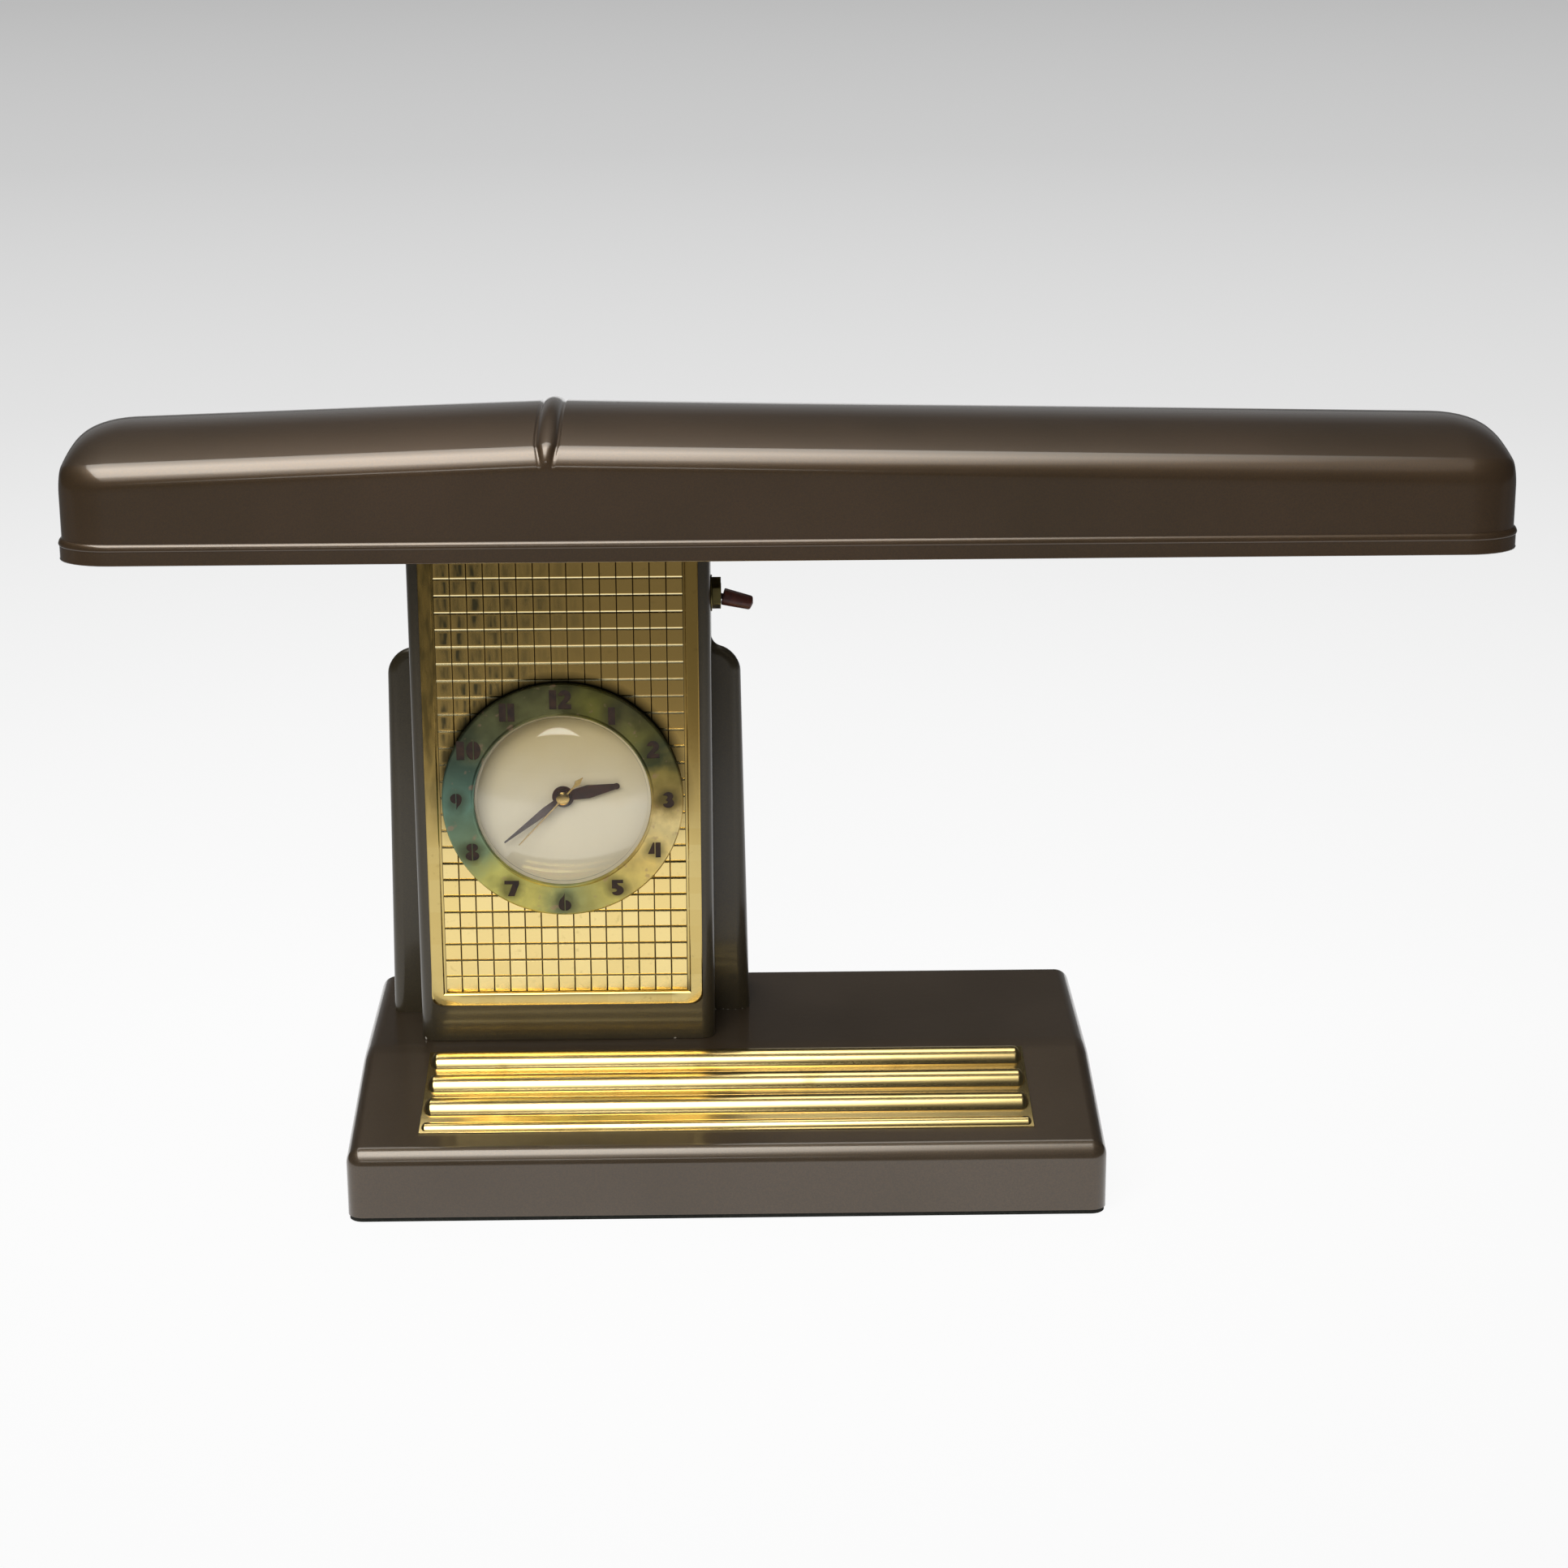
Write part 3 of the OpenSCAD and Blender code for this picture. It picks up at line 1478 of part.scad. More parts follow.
module ballast() {
    t = ballast_t;
    color(black)
    difference() {
        union() {
            box(column_x - ballast_foot_l / 2, column_x + ballast_foot_l / 2,
                ballast_y - ballast_d / 2, ballast_y + ballast_d / 2, base_rear_h,
                base_rear_h + t);
            translate([column_x, ballast_y, base_rear_h + t - touch])
                linear_extrude(ballast_h)
                    rounded_rect(ballast_l, ballast_d, 4);
        }
        at_ballast_screws()
            rod_z(screw_r + screw_gap, base_rear_h - cut, base_rear_h + t + cut);
    }
}

module ballast_screws() {
    low = base_rear_h - base_wall - touch;
    color(steel)
    at_ballast_screws() {
        rod_z(screw_head_r, base_rear_h + ballast_t, base_rear_h + ballast_t + screw_head_h);
        rod_z(screw_r, low - 2 * small_nut_t, base_rear_h + ballast_t + touch);
        rod_z(small_nut_r, low - small_nut_t, low, $fn = 6);
    }
}

base_shell();
bottom_plate();
felt_pad();
bottom_screws();
base_trim();
cord_grommet();
column_front();
column_back();
cover_posts();
back_screws();
column_bolts();
brass_panel();
clock_ring();
ring_studs();
ring_nuts();
crystal();
crystal_retainer();
dial();
clock_case();
hour_hand();
minute_hand();
second_hand();
hour_wheel();
cannon_pinion();
minute_wheel();
second_arbor();
front_plate();
back_plate();
movement_pillars();
minute_stud();
field_core();
field_coil();
rotor_unit();
set_shaft();
set_knob();
switch_body();
switch_washer();
switch_nut();
switch_lever();
shade();
shade_bracket();
bracket_screws();
reflector();
reflector_posts();
tube_glass();
tube_caps();
lampholder_left();
lampholder_right();
holder_brackets();
starter();
starter_socket();
starter_bracket();
ballast();
ballast_screws();
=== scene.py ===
# %% [markdown]
# # A desk lamp with a clock in its column
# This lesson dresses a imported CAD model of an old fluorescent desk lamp. It has a long pressed
# shade, a column with a brass panel and a round clock, and a wide base with a ribbed brass trim.
# The CAD model gives every size and every joint. Blender adds the rounded edges, the finishes, the
# light and the camera. All shapes are drawn in millimetres and made metres when they are finished.

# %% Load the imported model
import json
from math import asin, atan2, cos, pi, radians, sin, sqrt

import bmesh
import bpy
from mathutils import Matrix, Vector

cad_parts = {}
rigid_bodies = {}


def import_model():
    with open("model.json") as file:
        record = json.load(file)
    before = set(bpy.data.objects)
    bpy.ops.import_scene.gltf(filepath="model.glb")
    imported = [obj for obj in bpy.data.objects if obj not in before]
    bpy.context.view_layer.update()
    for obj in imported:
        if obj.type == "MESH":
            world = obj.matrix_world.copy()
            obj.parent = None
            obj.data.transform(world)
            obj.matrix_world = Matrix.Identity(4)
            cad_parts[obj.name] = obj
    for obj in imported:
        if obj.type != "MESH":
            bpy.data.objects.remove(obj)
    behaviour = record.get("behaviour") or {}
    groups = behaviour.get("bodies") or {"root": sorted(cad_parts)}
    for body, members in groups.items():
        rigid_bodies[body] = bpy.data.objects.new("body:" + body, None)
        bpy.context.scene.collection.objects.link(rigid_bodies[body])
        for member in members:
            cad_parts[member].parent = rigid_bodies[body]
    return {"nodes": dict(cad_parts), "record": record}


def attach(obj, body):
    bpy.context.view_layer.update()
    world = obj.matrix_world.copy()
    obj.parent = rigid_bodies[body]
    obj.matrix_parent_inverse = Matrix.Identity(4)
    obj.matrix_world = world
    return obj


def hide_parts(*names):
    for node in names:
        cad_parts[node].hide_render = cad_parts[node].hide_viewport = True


for leftover in list(bpy.data.objects):
    bpy.data.objects.remove(leftover)

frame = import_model()
bpy.context.view_layer.update()
MM = 0.001

# %% [markdown]
# ## The sizes that the pieces share
# A few sizes from the CAD model place everything: where the column stands, where the dial's axis is
# and how long the shade is. Named once here, they keep the new pieces on the old ones.

# %% Shared sizes in millimetres
BASE_W, BASE_D = 268.9, 156.4
BASE_BACK = BASE_D / 2
BASE_BEND = -3.8
BASE_REAR_H, BASE_FRONT_H, BASE_EDGE = 36.8, 25.8, 5.5
SLOPE = atan2(BASE_REAR_H - BASE_FRONT_H, BASE_BACK + BASE_BEND)
COLUMN_X, COLUMN_W = -58.7, 109.1
COLUMN_FRONT, COLUMN_BACK, COVER_BACK = 2.75, 33.0, 66.0
COLUMN_TOP, NECK_BOTTOM = 240.3, 228.3  # the closed top and the place where the back closes too
SWITCH_Y, SWITCH_Z = 17.95, 203.4
CLOCK_Z, CLOCK_HOLE = 131.2, 39.5
RIM_Z = 234.3
SHADE_X, SHADE_Y = 23.6, -12.0
HALF_L, HALF_D = 248.8, 46.8
END_L, END_D, END_H = 17.6, 13.0, 6.4
TUBE_Y, TUBE_Z = -22.0, 249.5
TO_AXIS = (-COLUMN_X * MM, 0, -CLOCK_Z * MM)  # moves the dial's axis to the origin
print("column right side at x =", COLUMN_X + COLUMN_W / 2)

# %% [markdown]
# ## The camera
# The photograph was taken from a little above, with a long lens. The camera's place, its angles and
# its lens were worked out beforehand from the straight edges of the base, column and shade.
# A camera looks along its own minus Z, so its three directions make the columns of its matrix.

# %% Camera at the photograph's angle
yaw, pitch, roll = 0.0163, 0.2988, -0.0048
forward = Vector((sin(yaw) * cos(pitch), cos(yaw) * cos(pitch), -sin(pitch)))
level = Vector((cos(yaw), -sin(yaw), 0))
right = level * cos(roll) + level.cross(forward) * sin(roll)
up = right.cross(forward)
camera_data = bpy.data.cameras.new("camera")
camera_data.sensor_width = 36
camera_data.lens = 80.72
camera_data.clip_end = 60
camera = bpy.data.objects.new("camera", camera_data)
camera.matrix_world = Matrix((right, up, -forward)).transposed().to_4x4()
camera.location = Vector((2.01, -1222.81, 513.32)) * MM
bpy.context.scene.collection.objects.link(camera)
bpy.context.scene.camera = camera
bpy.context.scene.view_settings.view_transform = "Standard"
print("camera at", tuple(round(c, 3) for c in camera.location))

# %% [markdown]
# ## Tools for the finishes
# Every finish is a small network of shader nodes. Colours are picked as they look on a screen, as
# sRGB hex values, and Blender works with linear light, so one function turns them. One more adds a
# node, sets its options, fills its inputs and gives back its output, ready for the next node.

# %% Colour and node helpers
TONES = {"data_type": "RGBA", "out": 2}  # makes a Mix node blend two colours


def as_value(value):
    """Turns an sRGB hex colour into the linear colour of the nodes, and leaves the rest alone."""
    if not isinstance(value, str):
        return value
    parts = [int(value[i:i + 2], 16) / 255 for i in (1, 3, 5)]
    return [p / 12.92 if p <= 0.04045 else ((p + 0.055) / 1.055) ** 2.4 for p in parts] + [1]


def add(tree, kind, inputs=(), out=0, stops=(), **settings):
    """Adds one node and gives back its output, or all its outputs when out is None.

    The kind may carry an operation after a space. Inputs are a list in the node's order or a
    dictionary: numbers, vectors, hex colours or links. Stops are the colours of a ramp.
    """
    kind, _, operation = kind.partition(" ")
    made = tree.nodes.new("ShaderNode" + kind)
    if operation:
        made.operation = operation
    for option, value in settings.items():
        setattr(made, option, value)
    for socket, value in inputs.items() if isinstance(inputs, dict) else enumerate(inputs):
        if isinstance(value, bpy.types.NodeSocket):
            tree.links.new(value, made.inputs[socket])
        else:
            made.inputs[socket].default_value = as_value(value)
    ramp = made.color_ramp.elements if stops else []
    for i, (position, tone) in enumerate(stops):
        stop = ramp[i] if i < len(ramp) else ramp.new(position)
        stop.position = position
        stop.color = as_value(tone) if isinstance(tone, str) else [tone] * 3 + [1]
    return made.outputs if out is None or not made.outputs else made.outputs[out]


def surface(tree, kind, inputs):
    """Ends a material: adds the shader of that kind and joins it to the output."""
    add(tree, "OutputMaterial", {"Surface": add(tree, kind, inputs)})


def start_finish(name):
    """Starts a material and gives back the material, its tree and the place on the object."""
    finish = bpy.data.materials.new(name)
    finish.use_nodes = True
    finish.node_tree.nodes.clear()
    place = add(finish.node_tree, "TexCoord", out="Object")
    return finish, finish.node_tree, place


print("linear value of mid grey:", round(as_value("#808080")[0], 4))

# %% [markdown]
# ## Bronze enamel
# The shade, column and base are pressed steel, sprayed with a brown stoving enamel that holds fine
# metal flakes, and baked. It gives the eye a dark taupe with a soft metallic sheen, lighter where
# it catches the lamp. Real flakes are about 0.03 mm, too fine to show here, so the grain is drawn
# coarser, at about 0.5 mm. The column's enamel is duller, and at its foot it has chipped down to
# the pale primer.

# %% Finish: bronze enamel
def bronze_enamel(name, brown, taupe, gloss=1.0, sheen=1.0, chips=None):
    """A flake enamel between two tones, chipped to the primer under a height of chips in mm."""
    finish, tree, place = start_finish(name)
    cloud = add(tree, "TexNoise", {"Vector": place, "Scale": 14.0, "Detail": 3.0})
    flake = add(tree, "TexNoise", {"Vector": place, "Scale": 1900.0, "Detail": 2.0})
    peel = add(tree, "TexNoise", {"Vector": place, "Scale": 350.0, "Detail": 1.0})
    cloudy = add(tree, "MapRange", [cloud, 0.35, 0.65])
    tone = add(tree, "Mix", {0: cloudy, 6: brown, 7: taupe}, **TONES)
    grain = add(tree, "MapRange", [flake, 0.3, 0.7, 0.82, 1.16])
    toned = add(tree, "VectorMath MULTIPLY", [tone, grain])
    rough = add(tree, "MapRange", {0: cloud, 3: 0.32, 4: 0.4})
    metal = add(tree, "MapRange", [flake, 0.3, 0.7, 0.28 * sheen, 0.48 * sheen])
    if chips:
        height = add(tree, "SeparateXYZ", [place], out="Z")
        low = add(tree, "MapRange", [height, chips * MM, (chips + 3.0) * MM, 1.0, 0.3])
        knocks = add(tree, "TexNoise", {"Vector": place, "Scale": 45.0, "Detail": 0.0})
        bites = add(tree, "TexNoise", {"Vector": place, "Scale": 520.0, "Detail": 3.0})
        near = add(tree, "Math MULTIPLY", [low, knocks])
        risk = add(tree, "Math MULTIPLY", [near, bites])
        bare = add(tree, "MapRange", [risk, 0.335, 0.35])
        toned = add(tree, "Mix", {0: bare, 6: toned, 7: "#b9b3a6"}, **TONES)
        rough = add(tree, "Mix", {0: bare, 2: rough, 3: 0.8})
        metal = add(tree, "Mix", {0: bare, 2: metal, 3: 0.0})
    bump = add(tree, "Bump", {"Height": peel, "Strength": 0.12, "Distance": 0.0002})
    surface(tree, "BsdfPrincipled", {"Base Color": toned, "Roughness": rough,
        "Metallic": metal, "Normal": bump, "Coat Weight": gloss, "Coat Roughness": 0.1,
        "Coat IOR": 1.5})
    return finish


shade_enamel = bronze_enamel("bronze_enamel_on_shade", "#4b3a26", "#523f2b")
column_enamel = bronze_enamel("bronze_enamel_on_column", "#3d3524", "#443c2a", gloss=0.4, sheen=0.5,
                              chips=36.8)
base_enamel = bronze_enamel("bronze_enamel_on_base", "#4e402f", "#564838")
print("enamels:", shade_enamel.name, column_enamel.name, base_enamel.name)

# %% [markdown]
# ## Polished brass
# The trim on the base is thin brass sheet, pressed into ribs and polished. It acts as a soft
# mirror: bright gold where it meets light and dark brown where it meets dark. Years of dusting
# leave fine wiping marks, drawn as noise stretched along the ribs, and a few dull stains. The same
# network with other tones makes the turned brass of the clock and the dark brass of the switch.

# %% Finish: polished brass
def polished_brass(name, gold, stain, rough_low, rough_high):
    """Brass sheet with fine wiping marks along X and dull stains."""
    finish, tree, place = start_finish(name)
    stretched = add(tree, "Mapping", {"Vector": place, "Scale": (60, 900, 900)})
    marks = add(tree, "TexNoise", {"Vector": stretched, "Scale": 1.0, "Detail": 3.0})
    blots = add(tree, "TexNoise", {"Vector": place, "Scale": 55.0, "Detail": 5.0})
    stained = add(tree, "MapRange", [blots, 0.58, 0.72, 0.0, 0.75])
    tone = add(tree, "Mix", {0: stained, 6: gold, 7: stain}, **TONES)
    rough = add(tree, "MapRange", [marks, 0.3, 0.7, rough_low, rough_high])
    surface(tree, "BsdfPrincipled", {"Base Color": tone, "Roughness": rough, "Metallic": 1.0})
    return finish


trim_brass = polished_brass("polished_brass_on_trim", "#efd592", "#d2b470", 0.19, 0.22)
small_brass = polished_brass("turned_brass", "#d9b978", "#8f7446", 0.2, 0.34)
switch_brass = polished_brass("darkened_brass", "#6f6640", "#4c4630", 0.3, 0.42)
print("brasses:", trim_brass.name, small_brass.name, switch_brass.name)

# %% [markdown]
# ## Tarnished brass panel
# The panel behind the clock is embossed brass under a thin lacquer that has failed in places. Its
# tones follow its little tiles, so the place on the panel is first counted in tiles. Rounded down,
# the count gives every tile its own number, and the rest tells how far a point is from the middle
# of its tile.

# %% Count the tiles of the panel
PANEL_W, PANEL_LOW, PANEL_H, BORDER = 100.4, 51.0, 181.0, 5.5
TILES_X, TILES_Z = 15, 27
PITCH_X = (PANEL_W - 2 * BORDER) / TILES_X
PITCH_Z = (PANEL_H - 2 * BORDER) / TILES_Z
FIELD_LEFT = COLUMN_X - PANEL_W / 2 + BORDER
FIELD_LOW = PANEL_LOW + BORDER

panel_brass, tree, place = start_finish("tarnished_brass_panel")
from_corner = add(tree, "Mapping", {"Vector": place,
    "Location": (-FIELD_LEFT * MM, 0, -FIELD_LOW * MM)})
tile_at = add(tree, "VectorMath MULTIPLY", [from_corner,
    (1 / (PITCH_X * MM), 0, 1 / (PITCH_Z * MM))])
tile_number = add(tree, "VectorMath FLOOR", [tile_at])
tile_chance = add(tree, "TexWhiteNoise", {"Vector": tile_number}, noise_dimensions="3D")
axes = add(tree, "SeparateXYZ", [tile_at], out=None)
from_middle = add(tree, "VectorMath SUBTRACT", [tile_at, (TILES_X / 2, 0, TILES_Z / 2)])
reach = add(tree, "VectorMath ABSOLUTE", [from_middle])
reaches = add(tree, "SeparateXYZ", [reach], out=None)
in_x = add(tree, "Math LESS_THAN", [reaches["X"], TILES_X / 2])
in_z = add(tree, "Math LESS_THAN", [reaches["Z"], TILES_Z / 2])
in_field = add(tree, "Math MULTIPLY", [in_x, in_z])
in_tile = add(tree, "VectorMath FRACTION", [tile_at])
from_tile = add(tree, "VectorMath SUBTRACT", [in_tile, (0.5, 0.5, 0.5)])
across = add(tree, "SeparateXYZ", [add(tree, "VectorMath ABSOLUTE", [from_tile])], out=None)
clear_x = add(tree, "MapRange", [across["X"], 0.46, 0.22])
clear_z = add(tree, "MapRange", [across["Z"], 0.46, 0.3])
centre = add(tree, "Math MULTIPLY", [clear_x, clear_z])
print("tile pitch", round(PITCH_X, 2), "x", round(PITCH_Z, 2), "mm")

# %% [markdown]
# The brass is pale gold below, each tile a little different, and warmer above the clock. To the
# upper left a dark greenish brown tarnish has spread in ragged patches from the middles of the
# tiles, drawn as noise with runs 3 mm wide and 12 mm high. Small spots are freckled over all of it.

# %% Tones of the panel
cloud = add(tree, "TexNoise", {"Vector": place, "Scale": 38.0, "Detail": 4.0})
ragged = add(tree, "Math MULTIPLY_ADD", [cloud, 9.0, -4.5])
leftness = add(tree, "Math ADD", [axes["X"], ragged])
left = add(tree, "MapRange", [leftness, 10.0, 3.0])
upper = add(tree, "MapRange", [axes["Z"], 9.0, 16.0])
dark = add(tree, "Math MULTIPLY", [left, upper])
runs = add(tree, "Mapping", {"Vector": place, "Scale": (330, 0, 80)})
blotch = add(tree, "TexNoise", {"Vector": runs, "Scale": 1.0, "Detail": 2.0})
blotched = add(tree, "MapRange", [blotch, 0.36, 0.6, 0.25, 1.0])
inside = add(tree, "Mix", {0: in_field, 2: 0.75, 3: centre})
patch = add(tree, "Math MULTIPLY", [blotched, inside])
tarnish = add(tree, "Math MULTIPLY", [dark, patch])
pale = add(tree, "Mix", {0: tile_chance, 6: "#efd896", 7: "#e8ce88"}, **TONES)
clean = add(tree, "Mix", {0: upper, 6: pale, 7: "#dab66a"}, **TONES)
spots = add(tree, "TexNoise", {"Vector": place, "Scale": 420.0, "Detail": 3.0})
spotted = add(tree, "MapRange", [spots, 0.64, 0.8, 0.0, 0.3])
aged = add(tree, "Mix", {0: spotted, 6: clean, 7: "#a48a50"}, **TONES)
tone = add(tree, "Mix", {0: tarnish, 6: aged, 7: "#585138"}, **TONES)
bordered = add(tree, "Mix", {0: in_field, 6: "#dcdad0", 7: "#ffffff"}, **TONES)
tone = add(tree, "VectorMath MULTIPLY", [tone, bordered])
print("tarnish and tones:", len(tree.nodes), "nodes so far")

# %% [markdown]
# The thin lines between the tiles are painted dark, as painted shade in the grooves, but the level
# ones in the upper rows carry a painted highlight instead. Over the clock a dark halo is painted on
# the panel round the ring. Tarnish also makes brass rougher.

# %% Lines, halo and gloss of the panel
upright_line = add(tree, "MapRange", [across["X"], 0.455, 0.475])
level_line = add(tree, "MapRange", [across["Z"], 0.43, 0.45])
# painted highlight on the level lines of the upper rows, painted shade on the lower ones
glint_rows = add(tree, "MapRange", [axes["Z"], 8.0, 11.0])
level_shade_and_glint = add(tree, "Mix", {0: glint_rows, 6: "#565038", 7: "#fff0bc"}, **TONES)
on_level = add(tree, "Math MULTIPLY", [level_line, in_field])
on_upright = add(tree, "Math MULTIPLY", [upright_line, in_field])
lined = add(tree, "Mix", {0: on_level, 6: tone, 7: level_shade_and_glint}, **TONES)
# the upright lines painted dark, as painted shade in the grooves
tone = add(tree, "Mix", {0: on_upright, 6: lined, 7: "#6e6040"}, **TONES)
from_axis = add(tree, "Mapping", {"Vector": place, "Location": TO_AXIS})
round_axis = add(tree, "VectorMath MULTIPLY", [from_axis, (1, 0, 1)])
radius = add(tree, "VectorMath LENGTH", [round_axis], out="Value")
# a dark halo painted on the panel round the upper half of the ring
near_ring = add(tree, "MapRange", [radius, 44.5 * MM, 48.5 * MM, 1.0, 0.0])
over_ring = add(tree, "Math MULTIPLY", [near_ring, upper])
tone = add(tree, "Mix", {0: over_ring, 6: tone, 7: "#1e1b10"}, **TONES)
dull = add(tree, "MapRange", {0: tarnish, 3: 0.15, 4: 0.4})
surface(tree, "BsdfPrincipled", {"Base Color": tone, "Roughness": dull, "Metallic": 1.0})
print("panel finish:", len(tree.nodes), "nodes")

# %% [markdown]
# ## Patina on the numeral ring
# The ring is brass that was coloured on purpose and has aged since. Going round the clock it passes
# from dark olive at twelve over bare gold at four to grey-green at nine, and each numeral has a
# dark halo. The angle round the dial comes from two coordinates with an arctangent, and a colour
# ramp is wrapped round it.

# %% Colours round the ring
ring_brass, tree, place = start_finish("patinated_brass_ring")
from_axis = add(tree, "Mapping", {"Vector": place, "Location": TO_AXIS})
axes = add(tree, "SeparateXYZ", [from_axis], out=None)
cloud = add(tree, "TexNoise", {"Vector": place, "Scale": 95.0, "Detail": 5.0})
angle = add(tree, "Math ARCTAN2", [axes["X"], axes["Z"]])
turn = add(tree, "Math MULTIPLY_ADD", [angle, 1 / (2 * pi), 1.0])
waver = add(tree, "Math MULTIPLY_ADD", [cloud, 0.07, -0.035])
wavy = add(tree, "Math ADD", [turn, waver])
hour_part = add(tree, "Math FRACT", [wavy])
patina = add(tree, "ValToRGB", [hour_part], stops=[(0.0, "#66643e"), (0.05, "#84803f"),
    (0.1, "#5c583a"), (0.14, "#7e7a44"), (0.18, "#585c3e"), (0.21, "#98884a"), (0.26, "#b0965a"),
    (0.295, "#f4de9c"), (0.36, "#e8cc7a"), (0.44, "#c8bc6a"), (0.5, "#98a070"), (0.55, "#cbc06a"),
    (0.62, "#cfca72"), (0.66, "#80906c"), (0.75, "#6c8c7a"), (0.8, "#566a5a"), (0.86, "#666a4c"),
    (0.93, "#74744c"), (1.0, "#77754c")])
print("patina ramp stops:", len(patina.node.color_ramp.elements))

# %% [markdown]
# The halo measures how far a point lies from the nearest numeral, 38.3 mm from the axis. The outer
# rim over the clock gets painted shade, the whole ring is mottled in patches of about 5 mm, and
# small specks show the pinkish copper that is left where brass has lost its zinc.

# %% Halos, painted shade and specks of the ring
twelfths = add(tree, "Math MULTIPLY_ADD", [turn, 12.0, 0.5])
nearest = add(tree, "Math FRACT", [twelfths])
aside = add(tree, "Math MULTIPLY_ADD", [nearest, 20.1 * MM, -10.05 * MM])
flat = add(tree, "CombineXYZ", [axes["X"], axes["Z"]])
radius = add(tree, "VectorMath LENGTH", [flat], out="Value")
outward = add(tree, "Math ADD", [radius, -38.3 * MM])
offset = add(tree, "CombineXYZ", [aside, outward])
distance = add(tree, "VectorMath LENGTH", [offset], out="Value")
uneven = add(tree, "Math MULTIPLY_ADD", [cloud, 4 * MM, distance])
halo = add(tree, "MapRange", [uneven, 7.6 * MM, 4.6 * MM, 0.0, 0.58])
haloed = add(tree, "Mix", {0: halo, 6: patina, 7: "#42412c"}, **TONES)
specks = add(tree, "TexNoise", {"Vector": place, "Scale": 260.0, "Detail": 2.0})
patchy = add(tree, "MapRange", [cloud, 0.35, 0.65, 0.78, 1.22])
rimward = add(tree, "MapRange", [radius, 37 * MM, 43 * MM])
above = add(tree, "MapRange", [axes["Z"], 5 * MM, 22 * MM, 0.0, 0.4])
# painted shade on the outer rim over the clock
rim_shade = add(tree, "Math MULTIPLY", [rimward, above])
shaded = add(tree, "Mix", {0: rim_shade, 6: haloed, 7: "#2c2f22"}, **TONES)
mottled = add(tree, "VectorMath MULTIPLY", [shaded, patchy])
pink = add(tree, "MapRange", [specks, 0.64, 0.72, 0.0, 0.45])
tone = add(tree, "Mix", {0: pink, 6: mottled, 7: "#b08a74"}, **TONES)
dull = add(tree, "MapRange", {0: cloud, 3: 0.3, 4: 0.5})
bump = add(tree, "Bump", {"Height": specks, "Strength": 0.08, "Distance": 0.0001})
surface(tree, "BsdfPrincipled", {"Base Color": tone, "Roughness": dull, "Metallic": 0.85,
    "Normal": bump})
print("ring finish:", len(tree.nodes), "nodes")

# %% [markdown]
# ## Dial card, glass and bakelite
# The dial is printed card that has yellowed from its upper edge, where it is also painted a little
# darker as painted shade from the ring. The glass is plain soda-lime glass with an index of 1.52.
# The switch lever is red-brown bakelite, a moulded resin with a faint marbling and a waxy gloss.

# %% Finishes: dial card, glass and bakelite
dial_card, tree, place = start_finish("yellowed_dial_card")
from_axis = add(tree, "Mapping", {"Vector": place, "Location": TO_AXIS})
height = add(tree, "SeparateXYZ", [from_axis], out="Z")
mottle = add(tree, "TexNoise", {"Vector": place, "Scale": 70.0, "Detail": 5.0})
lifted = add(tree, "Math MULTIPLY_ADD", [mottle, 14 * MM, height])
# yellowing and painted shade towards the upper edge
yellowing_and_shade = add(tree, "MapRange", [lifted, 4 * MM, 36 * MM])
tone = add(tree, "Mix", {0: yellowing_and_shade, 6: "#fff3d6", 7: "#f2dba0"}, **TONES)
fibre = add(tree, "TexNoise", {"Vector": place, "Scale": 1500.0, "Detail": 2.0})
bump = add(tree, "Bump", {"Height": fibre, "Strength": 0.05, "Distance": 0.0001})
surface(tree, "BsdfPrincipled", {"Base Color": tone, "Roughness": 0.6, "Normal": bump})

clock_glass, tree, place = start_finish("clear_clock_glass")
smear = add(tree, "TexNoise", {"Vector": place, "Scale": 60.0, "Detail": 3.0})
misty = add(tree, "MapRange", [smear, 0.4, 0.7, 0.0, 0.05])
surface(tree, "BsdfPrincipled", {"Base Color": "#fffffc", "Roughness": misty, "IOR": 1.52,
    "Transmission Weight": 1.0})

red_bakelite, tree, place = start_finish("marbled_red_bakelite")
swirl = add(tree, "TexNoise", {"Vector": place, "Scale": 260.0, "Detail": 3.0, "Distortion": 1.5})
tone = add(tree, "ValToRGB", [swirl], stops=[(0.35, "#401710"), (0.65, "#5c281c")])
surface(tree, "BsdfPrincipled", {"Base Color": tone, "Roughness": 0.42, "IOR": 1.55})
print("small finishes:", dial_card.name, clock_glass.name, red_bakelite.name)

# %% [markdown]
# ## The quieter finishes
# Many pieces are plain: zinc-plated screws, black bakelite, white urea lampholders, rubber, felt,
# copper. Each is one base tone with a mottle at its real scale, so one function makes them all, and
# the numbers that differ are listed with the reason for each.

# %% Finishes for the plainer pieces
def plain_finish(name, tone_a, tone_b, grain_mm, roughness, metallic=0.0, relief=0.05, **more):
    """A finish of two close tones, with a mottle whose patches are grain_mm across."""
    finish, tree, place = start_finish(name)
    mottle = add(tree, "TexNoise", {"Vector": place, "Scale": 1000 / grain_mm / 2, "Detail": 3.0})
    tone = add(tree, "ValToRGB", [mottle], stops=[(0.35, tone_a), (0.65, tone_b)])
    rough = add(tree, "MapRange", {0: mottle, 3: roughness * 0.85, 4: roughness * 1.2})
    bump = add(tree, "Bump", {"Height": mottle, "Strength": relief, "Distance": 0.0002})
    inputs = {"Base Color": tone, "Roughness": rough, "Metallic": metallic, "Normal": bump}
    inputs.update(more)
    surface(tree, "BsdfPrincipled", inputs)
    return finish


